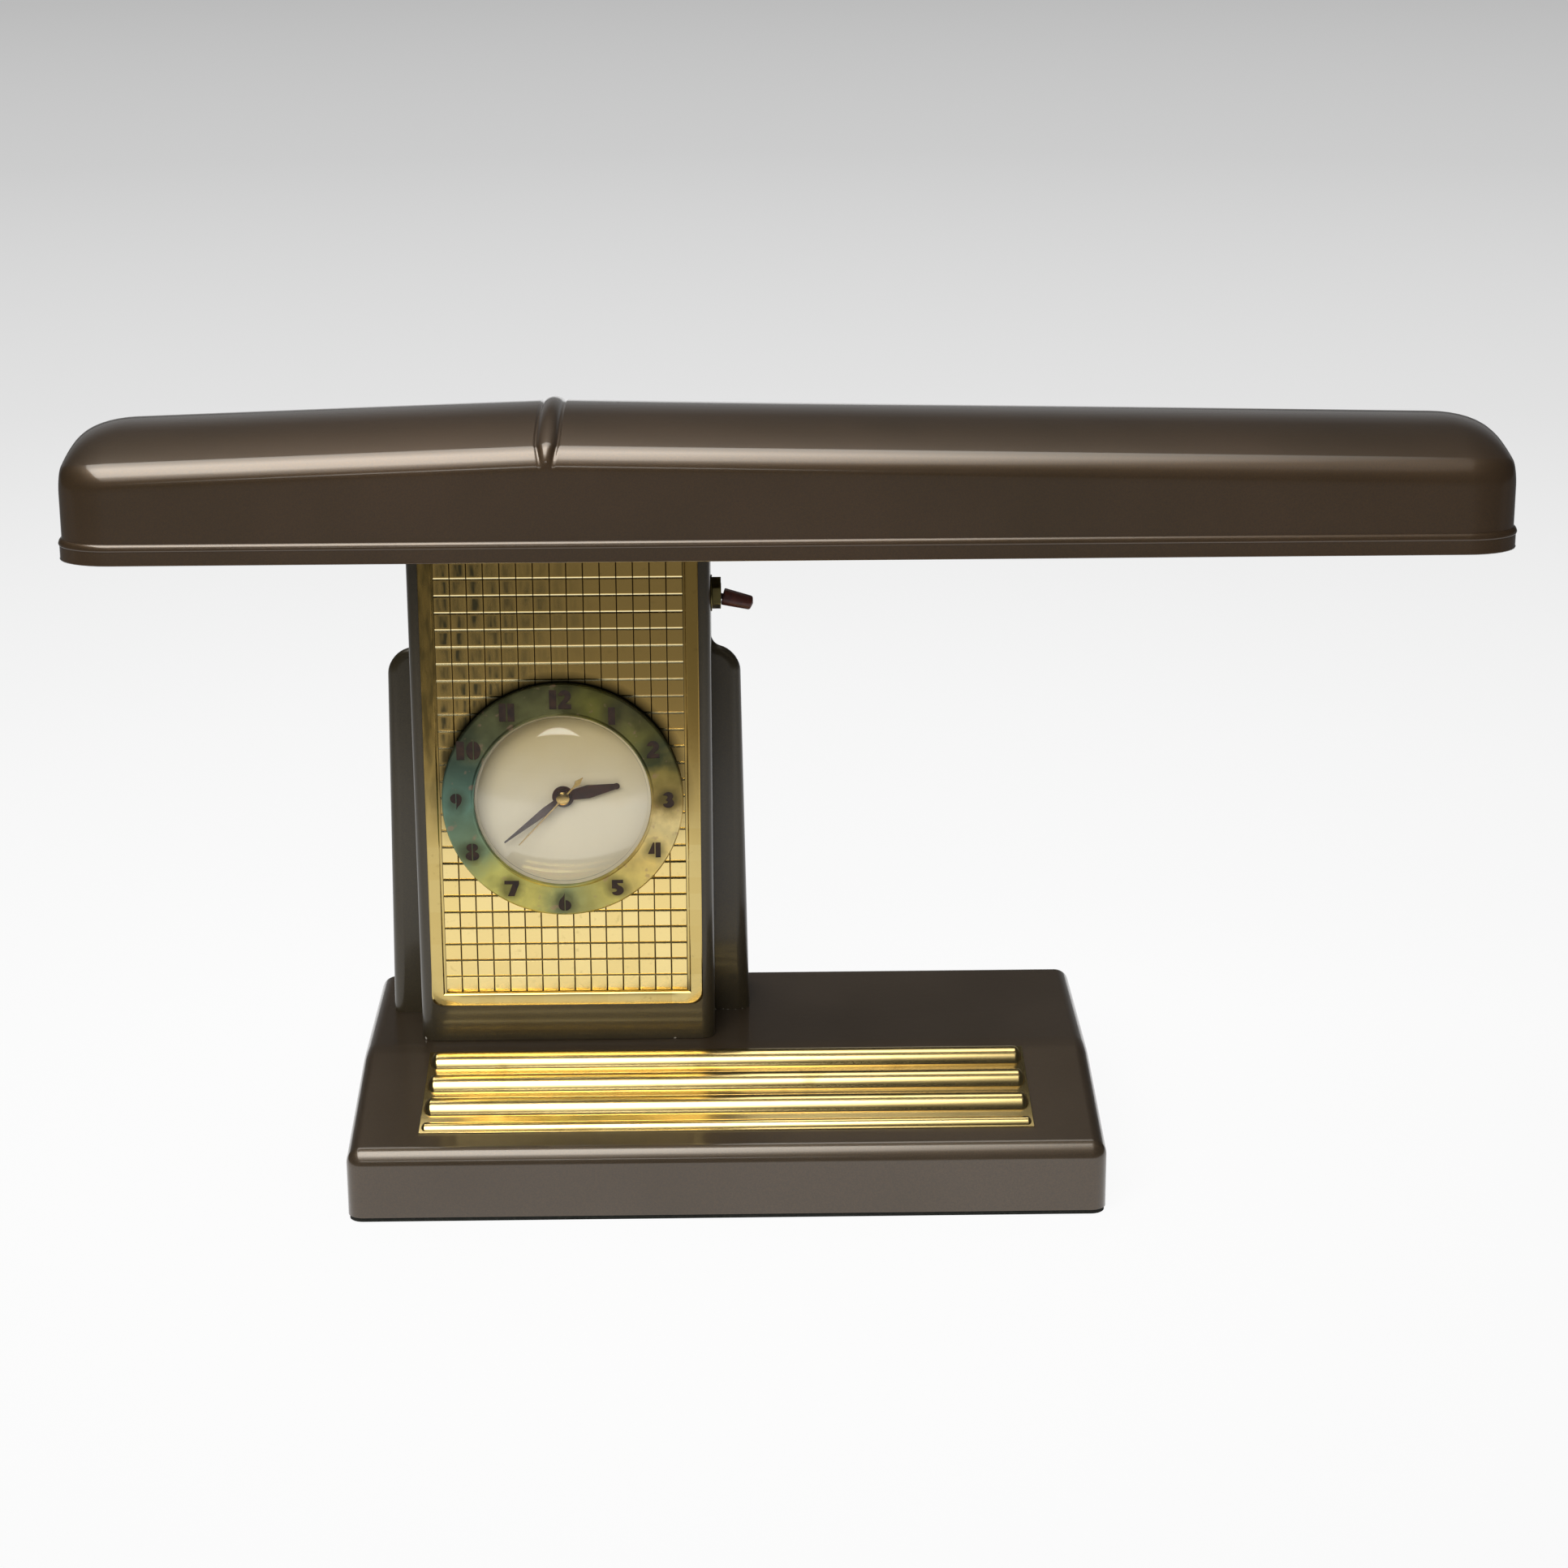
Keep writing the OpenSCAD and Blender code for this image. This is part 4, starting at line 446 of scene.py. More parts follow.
FINISHES = {
    # brushed by rolling, with a faint blue zinc tint
    "zinc_steel": plain_finish("zinc_plated_steel", "#8f9294", "#b4b5b2", 3.0, 0.34, 1.0),
    # short wool fibres, matt and almost black
    "felt": plain_finish("pressed_wool_felt", "#191a17", "#2b2c27", 0.6, 0.95, relief=0.6),
    # soft and matt, with a bloom
    "rubber": plain_finish("moulded_black_rubber", "#171614", "#22211e", 1.2, 0.7),
    # moulded in a polished tool
    "black_bakelite": plain_finish("moulded_black_bakelite", "#191411", "#28201b", 4.0, 0.28),
    # a dense white thermoset, a little yellow with age
    "white_urea": plain_finish("moulded_white_urea", "#dcd6c4", "#e8e3d4", 5.0, 0.35),
    # stoved on the reflector; painted brown-grey, not white, as painted shade under the shade,
    # which the trim mirrors brown
    "white_enamel": plain_finish("reflector_enamel_in_painted_shade", "#7c7363", "#8a8170", 6.0, 0.4),
    # drawn aluminium caps
    "aluminium": plain_finish("drawn_aluminium", "#a9aaa8", "#c2c3c0", 1.5, 0.3, 1.0),
    # a white powder coat seen through thin glass
    "tube": plain_finish("phosphor_coated_glass", "#eceae2", "#f3f2ec", 12.0, 0.12, relief=0.0),
    # tar-black dipping paint
    "ballast": plain_finish("black_dipping_paint", "#141412", "#242321", 3.0, 0.45),
    # stacked iron sheets, oiled
    "iron_sheets": plain_finish("stacked_iron_sheets", "#4a4744", "#6c6965", 0.8, 0.45, 0.9),
    # enamelled wire, wound in layers
    "winding": plain_finish("enamelled_copper_winding", "#6a2d14", "#94481f", 0.5, 0.35, 0.4, 0.4),
    # copper can of the motor
    "copper": plain_finish("drawn_copper", "#b87348", "#cf8b60", 2.0, 0.3, 1.0),
    # the hands' dark stoved lacquer
    "hand_lacquer": plain_finish("dark_brown_lacquer", "#331d15", "#48291e", 2.0, 0.4),
    # filling in the cut numerals
    "numeral_wax": plain_finish("dark_numeral_wax", "#24160e", "#3c2718", 1.5, 0.5),
    # clock plates of rolled brass
    "plate_brass": plain_finish("rolled_plate_brass", "#b6974f", "#cdb06a", 5.0, 0.3, 1.0),
}
print("plain finishes:", len(FINISHES))

# %% [markdown]
# ## Tools for the shapes
# A new piece is drawn with bmesh operators in millimetres. The next three round its edges,
# thicken it and cut it. Rounding and thickening are modifiers, because they can be changed
# later. A cut is applied at once, so that the edges of the hole can be rounded too.

# %% Piece helpers
def as_object(bm, name, *finishes):
    """Makes a bmesh into an object of the scene, as large as it was drawn."""
    mesh = bpy.data.meshes.new(name)
    bm.to_mesh(mesh)
    bm.free()
    for finish in finishes:
        mesh.materials.append(finish)
    made = bpy.data.objects.new(name, mesh)
    bpy.context.scene.collection.objects.link(made)
    return made


def piece(name, bm, finish, instead=(), body="frame", smooth=35):
    """Makes a finished object from a bmesh that was drawn in millimetres."""
    bmesh.ops.remove_doubles(bm, verts=bm.verts, dist=0.0005)
    bmesh.ops.recalc_face_normals(bm, faces=bm.faces)
    bmesh.ops.scale(bm, vec=(MM, MM, MM), verts=bm.verts)
    made = as_object(bm, name, finish)
    mesh = made.data
    mesh.shade_smooth()
    mesh.set_sharp_from_angle(angle=radians(smooth))
    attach(made, body)
    if instead:
        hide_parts(*instead)
    print(f"{name}: {len(mesh.polygons)} faces, rides on {body}")
    return made


def flats_kept(target):
    """Lets the large faces decide the shading, so that they look flat beside a bevel."""
    flats = target.modifiers.new("flat_faces", "WEIGHTED_NORMAL")
    flats.keep_sharp = True
    return target


def rounded(target, width, angle=30):
    """Rounds the sharp edges of a piece by a width in mm."""
    bevel = target.modifiers.new("rounded_edges", "BEVEL")
    bevel.width = width * MM
    bevel.segments = 2
    bevel.limit_method = "ANGLE"
    bevel.angle_limit = radians(angle)
    return flats_kept(target)


def walled(target, thickness):
    """Gives an open sheet its thickness in mm, inwards from the drawn surface."""
    wall = target.modifiers.new("sheet_thickness", "SOLIDIFY")
    wall.thickness = thickness * MM
    wall.offset = -1
    wall.use_even_offset = True
    return target


def carved(target, cutter):
    """Cuts a closed form, drawn in mm, out of a piece at once."""
    bmesh.ops.recalc_face_normals(cutter, faces=cutter.faces)
    bmesh.ops.scale(cutter, vec=(MM, MM, MM), verts=cutter.verts)
    tool = as_object(cutter, "cutter")
    cut = target.modifiers.new("cut", "BOOLEAN")
    cut.object = tool
    cut.solver = "EXACT"
    cut.use_self = True
    bpy.context.view_layer.update()
    result = bpy.data.meshes.new_from_object(
        target.evaluated_get(bpy.context.evaluated_depsgraph_get()))
    target.modifiers.clear()
    old, target.data = target.data, result
    result.name = old.name
    tool_mesh = tool.data
    bpy.data.objects.remove(tool)
    for spent in (old, tool_mesh):
        bpy.data.meshes.remove(spent)
    return target


print("metres per millimetre:", MM)

# %% [markdown]
# A pressed sheet starts as a box: some edges are found by their place, some are bevelled, and open
# edges are pulled out step by step. Four helpers do that. The last one keeps the places of the
# open edges in a layer on the points, so that each step can be measured from where they were.

# %% Helpers for pressed sheets
def bevelled(bm, geom, offset, segments, affect="EDGES"):
    """Bevels edges, or corners with VERTICES, by an offset in mm with a round profile."""
    bmesh.ops.bevel(bm, geom=geom, affect=affect, offset=offset, segments=segments, profile=0.5,
                    material=-1)


def edges_where(bm, test, bend=None):
    """The edges whose two points pass a test, and that bend by more than an angle if given."""
    passed = [e for e in bm.edges if all(test(v.co) for v in e.verts)]
    if bend is None:
        return passed
    return [e for e in passed if len(e.link_faces) == 2 and e.calc_face_angle() > radians(bend)]


def extruded(bm, geom):
    """Extrudes faces or edges, and gives back the new edges and the new points."""
    if isinstance(geom[0], bmesh.types.BMFace):
        grown = bmesh.ops.extrude_face_region(bm, geom=geom)["geom"]
    else:
        grown = bmesh.ops.extrude_edge_only(bm, edges=geom)["geom"]
    return [[g for g in grown if isinstance(g, kind)] for kind in (
        bmesh.types.BMEdge, bmesh.types.BMVert)]


def cut_across(bm, place, facing):
    """Adds a line of edges where a plane through place crosses the mesh."""
    bmesh.ops.bisect_plane(bm, geom=bm.verts[:] + bm.edges[:] + bm.faces[:], plane_co=place,
                           plane_no=facing)


def open_loop(bm):
    """The open edges of a sheet, and the layer that keeps the places of their points."""
    kept = bm.verts.layers.float_vector.new("kept_place")
    loop = [e for e in bm.edges if e.is_boundary]
    for v in {v for e in loop for v in e.verts}:
        v[kept] = v.co
    return loop, kept


print("sheet helpers ready")

# %% [markdown]
# Some pieces start from their CAD mesh, and the rest are rods, boxes and turned forms. A turned
# form is a profile, spun round an axis, as on a lathe.

# %% Helpers for whole forms
def merged_copy(node):
    """A copy of a CAD node's mesh in mm, with its loose triangles merged into flat faces."""
    bm = bmesh.new()
    bm.from_mesh(frame["nodes"][node].data)
    bmesh.ops.scale(bm, vec=(1000, 1000, 1000), verts=bm.verts)
    bmesh.ops.remove_doubles(bm, verts=bm.verts, dist=0.002)
    bmesh.ops.dissolve_limit(bm, angle_limit=radians(0.5), verts=bm.verts, edges=bm.edges)
    return bm


def rod(bm, radius, start, end, segments=48):
    """Adds a closed round rod between two points in mm."""
    start, end = Vector(start), Vector(end)
    turn = (end - start).to_track_quat("Z", "Y").to_matrix().to_4x4()
    bmesh.ops.create_cone(
        bm, cap_ends=True, segments=segments, radius1=radius, radius2=radius,
        depth=(end - start).length, matrix=Matrix.Translation((start + end) / 2) @ turn)


def block(bm, low, high):
    """Adds a closed box between two corners in mm."""
    low, high = Vector(low), Vector(high)
    size = Matrix.Diagonal((*(high - low), 1))
    return bmesh.ops.create_cube(bm, matrix=Matrix.Translation((low + high) / 2) @ size)["verts"]


def turned(bm, points, centre, axis, steps=96):
    """Spins a profile of (radius, along) points round an axis through centre."""
    side = Vector((0, 0, 1)) if abs(axis[2]) < 0.5 else Vector((1, 0, 0))
    axis, centre = Vector(axis), Vector(centre)
    corners = [bm.verts.new(centre + side * r + axis * along) for r, along in points]
    edges = [bm.edges.new(pair) for pair in zip(corners, corners[1:])]
    bmesh.ops.spin(bm, geom=corners + edges, cent=centre, axis=axis, angle=2 * pi, steps=steps,
                   use_merge=True)
    bmesh.ops.remove_doubles(bm, verts=bm.verts, dist=0.0005)


print("faces of a merged hour hand:", len(merged_copy("hour_hand").faces))

# %% [markdown]
# ## The shade
# The shade is one deep pressing: straight walls, rounded shoulders and a gently crowned top that
# falls away to both ends, with a raised rib over the column. It could be a box with bevels, but
# the crown and the falling ridge need a section that changes along the length. So a grid is laid
# out, one row of points per station along the shade, and every point is moved to its place on the
# section of its station. The stations lie close together where the rib and its two grooves are.

# %% Section and stations of the shade
CROWN_R, SHOULDER_R = 165.0, 8.4
RIDGE_H, LEFT_H, RIGHT_H = 44.1, 38.5, 37.0
RIM_TOP = 7.3


def crest(x):
    """Height of the top line over the rim."""
    if x < COLUMN_X:
        return RIDGE_H + (LEFT_H - RIDGE_H) * (COLUMN_X - x) / (COLUMN_X - SHADE_X + HALF_L)
    return RIDGE_H + (RIGHT_H - RIDGE_H) * (x - COLUMN_X) / (SHADE_X + HALF_L - COLUMN_X)


def section_point(part, half_depth, height):
    """Place and outward direction at a part from 0, the front wall's foot, to 1, the back's."""
    lean = asin((half_depth - SHOULDER_R) / (CROWN_R - SHOULDER_R))
    shoulder_z = height - CROWN_R + sqrt((CROWN_R - SHOULDER_R) ** 2
                                         - (half_depth - SHOULDER_R) ** 2)
    side = -1 if part < 0.5 else 1
    along = 2 * min(part, 1 - part)
    if along < 0.25:
        z = RIM_TOP + (shoulder_z - RIM_TOP) * along / 0.25
        return Vector((side * half_depth, z)), Vector((side, 0))
    if along < 0.6:
        angle = (pi / 2 - lean) * (along - 0.25) / 0.35
        out = Vector((side * cos(angle), sin(angle)))
        return Vector((side * (half_depth - SHOULDER_R), shoulder_z)) + out * SHOULDER_R, out
    angle = lean * (1 - along) / 0.4
    out = Vector((side * sin(angle), cos(angle)))
    return Vector((0, height - CROWN_R)) + out * CROWN_R, out


stations = []
for side in (-1, 1):
    for k in range(10):
        s, c = sin(radians(10 * k)), cos(radians(10 * k))
        x = SHADE_X + side * (HALF_L - END_L * (1 - s))
        stations.append((x, HALF_D - END_D * (1 - c), crest(x) - END_H * (1 - c)))
rib_steps = [COLUMN_X + step * 0.25 for step in range(-26, 27)]
plain_steps = [x for x in range(-200, 241, 20) if abs(x - COLUMN_X) > 9]
for x in rib_steps + plain_steps:
    stations.append((x, HALF_D, crest(x)))
stations.sort()
print("stations:", len(stations), "from", round(stations[0][0], 1), "to", round(stations[-1][0], 1))

# %% [markdown]
# The rib is about 4.6 mm wide and 1.2 mm high, between two shallow grooves. The grooves stand
# closer together on the front than on the top, and everything fades out where the shoulder turns
# down into the front wall.

# %% Press the shade
PARTS = 60


def rib_height(x, along):
    """How far the rib or a groove moves the sheet outwards, at a place across the shade."""
    from_centre = abs(x - COLUMN_X)
    strength = min(1, max(0, (along - 0.30) / 0.2))
    groove_at = 2.1 + 1.5 * min(1, max(0, (along - 0.35) / 0.3))
    bump_half = groove_at - 0.45
    if from_centre < bump_half:
        return strength * 1.2 * cos(pi / 2 * from_centre / bump_half) ** 0.7
    if from_centre < bump_half + 1.5:
        return -strength * 0.4 * sin(pi * (from_centre - bump_half) / 1.5)
    return 0


bm = bmesh.new()
bmesh.ops.create_grid(bm, x_segments=len(stations) - 1, y_segments=PARTS, size=0.5)
for v in bm.verts:
    x, half_depth, height = stations[round((v.co.x + 0.5) * (len(stations) - 1))]
    part = round((v.co.y + 0.5) * PARTS) / PARTS
    flat, out = section_point(part, half_depth, height)
    flat = flat + out * rib_height(x, 2 * min(part, 1 - part))
    v.co = Vector((x, SHADE_Y + flat[0], RIM_Z + flat[1]))
open_edges = [e for e in bm.edges if e.is_boundary]
for end_x in (stations[0][0], stations[-1][0]):
    rim_of_end = [e for e in open_edges if all(abs(v.co.x - end_x) < 0.001 for v in e.verts)]
    feet = [v for v in {v for e in rim_of_end for v in e.verts}
            if abs(v.co.z - RIM_Z - RIM_TOP) < 0.001]
    bmesh.ops.edgenet_fill(bm, edges=rim_of_end + [bm.edges.new(feet)])
print("shade walls:", len(bm.faces), "faces")

# %% [markdown]
# The lower edge is folded outwards into a band 7 mm high, with a rounded bead along its top. The
# open edge of the walls is extruded again and again, each time moved a little further out or down.
# A layer on the points remembers where the wall was, so that each step is measured from the wall.

# %% Fold the rim band
def rim_place(wall_x, wall_y, out):
    """The wall's plan outline moved outwards, also round its elliptical corners."""
    dx, dy = wall_x - SHADE_X, wall_y - SHADE_Y
    past = max(0, (abs(dx) - (HALF_L - END_L)) / END_L)
    wide = min(1, max(0, (abs(dy) - (HALF_D - END_D)) / END_D))
    sx, sy = (1 if dx > 0 else -1), (1 if dy > 0 else -1)
    return wall_x + sx * out * min(1, past), wall_y + sy * out * wide


loop, wall_of = open_loop(bm)
for out, z in [(0.25, 7.2), (0.5, 7.05), (0.75, 6.8), (0.95, 6.5), (1.1, 6.1), (1.2, 5.7),
               (1.2, 5.3), (1.1, 5.05), (0.85, 4.9), (0.85, 0.7), (1.0, 0.35), (0.95, 0.0)]:
    loop, points = extruded(bm, loop)
    for v in points:
        x, y = rim_place(v[wall_of].x, v[wall_of].y, out)
        v.co = Vector((x, y, RIM_Z + z))
shade = piece("lamp_shade", bm, shade_enamel, ["shade"], smooth=50)
flats_kept(walled(shade, 1.2))

# %% [markdown]
# ## The base
# The base is a shallow pressed tray, upside down: flat at the back and sloping to the front. A cube
# is scaled to its size, cut across at the bend, and its front edge is lowered. Its underside is
# opened and the bend is rounded, which leaves flat lines on the sides. They are dissolved, because
# a bevel that meets them makes spikes in the sheet. Then the outer edges are rounded.

# %% Base shell
bm = bmesh.new()
block(bm, (-BASE_W / 2, -BASE_BACK, 1.6), (BASE_W / 2, BASE_BACK, BASE_REAR_H))
cut_across(bm, (0, BASE_BEND, 0), (0, 1, 0))
for v in bm.verts:
    if v.co.y < -BASE_BACK + 1 and v.co.z > 10:
        v.co.z = BASE_FRONT_H
bmesh.ops.delete(bm, geom=[f for f in bm.faces if f.calc_center_median().z < 2], context="FACES")
bend = edges_where(bm, lambda p: abs(p.y - BASE_BEND) < 0.01 and p.z > 30)
bevelled(bm, bend, 5, 5)
flat_lines = [e for e in bm.edges if len(e.link_faces) == 2 and e.calc_face_angle() < radians(0.2)]
bmesh.ops.dissolve_edges(bm, edges=flat_lines, use_verts=True)
outer = edges_where(bm, lambda p: True, bend=45)
bevelled(bm, outer, BASE_EDGE, 9)
base = piece("pressed_base", bm, base_enamel, ["base_shell"], smooth=50)
bolt_holes = bmesh.new()
for sx in (-1, 1):
    rod(bolt_holes, 2.15, (COLUMN_X + sx * 40, 12.75, 30), (COLUMN_X + sx * 40, 12.75, 40))
flats_kept(carved(walled(base, 1.6), bolt_holes))

# %% [markdown]
# The base stands on a sheet of felt, cut 0.5 mm short of the outline all round, with a hole for
# each of the four screws. It shows as a thin dark line under the enamel.

# %% Felt sheet
bm = bmesh.new()
block(bm, (0.5 - BASE_W / 2, 0.5 - BASE_BACK, 0), (BASE_W / 2 - 0.5, BASE_BACK - 0.5, 1.5))
upright = [e for e in bm.edges if abs(e.verts[0].co.z - e.verts[1].co.z) > 1]
bevelled(bm, upright, 5, 8)
felt = piece("felt_sheet", bm, FINISHES["felt"], ["felt_pad"])
holes = bmesh.new()
for sx in (-1, 1):
    for sy in (-1, 1):
        at = Vector((sx * (BASE_W / 2 - 14), sy * (BASE_BACK - 14), 0))
        rod(holes, 4.5, at - Vector((0, 0, 1)), at + Vector((0, 0, 3)))
carved(felt, holes)
print("base and felt", tuple(round(1000 * v, 1) for v in base.dimensions))

# %% [markdown]
# ## The column
# The column's front is a bent sheet: a front and two sides, rounded at the two front corners, with
# a closed top that is screwed to the shade. It is a cube without its back and its underside, with
# two bevelled edges, a sheet thickness, and holes for the clock and the switch.

# %% Column front
bm = bmesh.new()
x0, x1 = COLUMN_X - COLUMN_W / 2, COLUMN_X + COLUMN_W / 2
block(bm, (x0, COLUMN_FRONT, BASE_REAR_H), (x1, COLUMN_BACK, COLUMN_TOP))
cut_across(bm, (0, 0, NECK_BOTTOM), (0, 0, 1))
front_corners = [e for e in edges_where(bm, lambda p: p.y < COLUMN_FRONT + 1)
                 if abs(e.verts[0].co.x - e.verts[1].co.x) < 0.01]
open_faces = [f for f in bm.faces for centre in [f.calc_center_median()]
              if centre.z < BASE_REAR_H + 0.2
              or (centre.y > COLUMN_BACK - 0.1 and centre.z < NECK_BOTTOM - 0.3)]
bmesh.ops.delete(bm, geom=open_faces, context="FACES")
bevelled(bm, front_corners, 5, 10)
column = piece("column_front_sheet", bm, column_enamel, ["column_front"], smooth=40)
walled(column, 1.5)
holes = bmesh.new()
rod(holes, CLOCK_HOLE, (COLUMN_X, 0, CLOCK_Z), (COLUMN_X, 10, CLOCK_Z), 96)
rod(holes, 3.75, (x1 - 6, SWITCH_Y, SWITCH_Z), (x1 + 6, SWITCH_Y, SWITCH_Z))
rod(holes, 6.0, (COLUMN_X, 18.75, 235), (COLUMN_X, 18.75, 245))
carved(column, holes)
rounded(column, 0.35, angle=50)

# %% [markdown]
# The back cover is wider than the front and steps in at two soft shoulders, which fall towards the
# back. Its outline is drawn once with sharp corners, and bevelling the corners makes the shoulders.
# Extruding it gives the depth, lowering the back of the shoulders gives the fall, and edge bevels
# round it: wide at the roof, medium along the front of the wings and narrow down the back.

# %% Back cover
bm = bmesh.new()
ROOF, FALL, WING_EDGE = 232.0, 10.1, 4.4
outline = [(67.6, BASE_REAR_H), (65.2, 178.5), (54.55, 181.4), (54.55, ROOF)]
outline += [(-x, z) for x, z in reversed(outline)]
bm.faces.new([bm.verts.new((COLUMN_X + x, COLUMN_BACK, z)) for x, z in outline])
for corner_z, offset in ((178.5, 7.6), (181.4, 3.4)):
    corners = [v for v in bm.verts if abs(v.co.z - corner_z) < 0.01]
    bevelled(bm, corners, offset, 9, "VERTICES")
back_points = extruded(bm, bm.faces[:])[1]
bmesh.ops.translate(bm, vec=(0, COVER_BACK - COLUMN_BACK, 0), verts=back_points)
bmesh.ops.translate(bm, vec=(0, 0, -FALL), verts=[v for v in back_points if 165 < v.co.z < 190])
roof_edge = edges_where(bm, lambda p: p.y > 65 and p.z > ROOF - 0.1)
bevelled(bm, roof_edge, 10, 10)
wing_edges = [e for e in edges_where(bm, lambda p: p.y < COLUMN_BACK + 0.1 and p.z < 186)
              if max(v.co.z for v in e.verts) > 38]
bevelled(bm, wing_edges, WING_EDGE, 7)
side_edges = [e for e in edges_where(bm, lambda p: p.y > 55.5, bend=60)
              if max(v.co.z for v in e.verts) > 38]
bevelled(bm, side_edges, 2.2, 4)
open_face = [f for f in bm.faces if f.calc_center_median().z < BASE_REAR_H + 0.2]
bmesh.ops.delete(bm, geom=open_face, context="FACES")
cover = piece("back_cover_sheet", bm, column_enamel, ["column_back"], smooth=40)
walled(cover, 1.5)
holes = bmesh.new()
block(holes, (COLUMN_X - 53.05, 30, 30), (COLUMN_X + 53.05, 34.6, NECK_BOTTOM))
for slot in range(6):
    z = 48.8 + slot * 9
    block(holes, (COLUMN_X - 30, 62, z), (COLUMN_X + 30, 68, z + 3))
rod(holes, 3.0, (-48.308, 62, 113.2), (-48.308, 68, 113.2))
carved(cover, holes)
rounded(cover, 0.4, angle=45)

# %% [markdown]
# ## The embossed panel
# The panel is thin brass sheet with a field of 15 by 27 small flat tiles, parted by V-shaped
# grooves. A grid has one face per tile. Inset each face on its own, and the tile stays flat while
# the grid lines between the tiles are pushed back into grooves. The upright grooves are narrower
# than the level ones, so the inset is made while the grid is stretched sideways. The open edge is
# then extruded into the plain border, and the lowest tiles get their rounded lower corners.

# %% Brass panel
STRETCH = 1.9
GROOVE_DEPTH = 0.24
bm = bmesh.new()
bmesh.ops.create_grid(bm, x_segments=TILES_X, y_segments=TILES_Z, size=0.5)
field = Matrix.Diagonal((TILES_X * PITCH_X * STRETCH, TILES_Z * PITCH_Z, 1, 1))
bmesh.ops.transform(bm, matrix=field, verts=bm.verts)
grid_points = bm.verts[:]
tiles = bm.faces[:]
bmesh.ops.inset_individual(bm, faces=tiles, thickness=0.55, depth=0, use_even_offset=True)
bmesh.ops.translate(bm, vec=(0, 0, -GROOVE_DEPTH), verts=grid_points)
low_corners = [v for f in tiles for v in f.verts
               if f.calc_center_median().y < -TILES_Z * PITCH_Z / 2 + PITCH_Z
               and v.co.y < f.calc_center_median().y]
bevelled(bm, low_corners, 1.1, 4, "VERTICES")
bmesh.ops.scale(bm, vec=(1 / STRETCH, 1, 1), verts=bm.verts)
half_x, half_z = TILES_X * PITCH_X / 2, TILES_Z * PITCH_Z / 2
loop, edge_of = open_loop(bm)
for out, depth in [(0.7, -0.45), (1.15, -0.1), (1.35, -0.05), (5.1, -0.05), (5.4, -0.2),
                   (BORDER, -0.45), (BORDER, -1.2)]:
    loop, points = extruded(bm, loop)
    for v in points:
        start = v[edge_of]
        dx = out if start.x > half_x - 0.01 else -out if start.x < 0.01 - half_x else 0
        dy = out if start.y > half_z - 0.01 else -out if start.y < 0.01 - half_z else 0
        v.co = Vector((start.x + dx, start.y + dy, depth))
corner_lines = edges_where(bm, lambda p: (
    abs(abs(p.x) - half_x - BORDER) < 0.5 and abs(abs(p.y) - half_z - BORDER) < 0.5))
bevelled(bm, corner_lines, 3.6, 6)
to_wall = (Matrix.Translation((COLUMN_X, 1.55, PANEL_LOW + PANEL_H / 2))
           @ Matrix.Rotation(pi / 2, 4, "X"))
bmesh.ops.transform(bm, matrix=to_wall, verts=bm.verts)
panel = piece("embossed_panel", bm, panel_brass, ["brass_panel"], smooth=20)
walled(panel, 0.25)
hole = bmesh.new()
rod(hole, CLOCK_HOLE, (COLUMN_X, -2, CLOCK_Z), (COLUMN_X, 6, CLOCK_Z), 96)
carved(panel, hole)
print("panel faces:", len(panel.data.polygons))

# %% [markdown]
# ## The base trim
# The trim is brass sheet pressed into three round ribs and a narrow lip. Each rib is a low slice of
# a round bar. Its end is a half profile, spun and squeezed to half its length, its middle is the
# same profile extruded, and the other end is the mirror image.

# %% One rib
def add_rib(bm, length, width, height, forward_y, lift):
    """Adds one closed rib, lying along X on the trim's plate."""
    big = (width * width / 4 + height * height) / (2 * height)
    half = asin(width / 2 / big)
    reach = length / 2 - width / 4
    before = set(bm.verts)

    def own_points():
        return [v for v in bm.verts if v not in before]

    curve = [bm.verts.new((reach, -big * sin(a), height - big + big * cos(a)))
             for a in (half * i / 10 for i in range(11))]
    edges = [bm.edges.new(pair) for pair in zip(curve, curve[1:])]
    bmesh.ops.spin(bm, geom=curve + edges, cent=(reach, 0, 0), axis=(0, 0, 1), angle=pi, steps=24)
    bmesh.ops.remove_doubles(bm, verts=own_points(), dist=0.001)
    bmesh.ops.scale(bm, vec=(0.5, 1, 1), space=Matrix.Translation((-reach, 0, 0)),
                    verts=own_points())
    cut = [e for e in bm.edges if e.verts[0] not in before and e.is_boundary
           and all(abs(v.co.x - reach) < 0.001 for v in e.verts)]
    bmesh.ops.translate(bm, vec=(-reach, 0, 0), verts=extruded(bm, cut)[1])
    mine = own_points()
    own_faces = list({f for v in mine for f in v.link_faces})
    bmesh.ops.mirror(bm, geom=mine + list({e for v in mine for e in v.link_edges}) + own_faces,
                     axis="X", merge_dist=0.001)
    bmesh.ops.holes_fill(bm, edges=[e for e in bm.edges if e.is_boundary], sides=0)
    bmesh.ops.translate(bm, vec=(0, forward_y, lift), verts=own_points())


print("rib ends are squeezed to half their length")

# %% [markdown]
# The ribs and the lip stand on a plate with rounded corners. It is drawn flat, measured from the
# base's bend, and then turned down onto the slope.

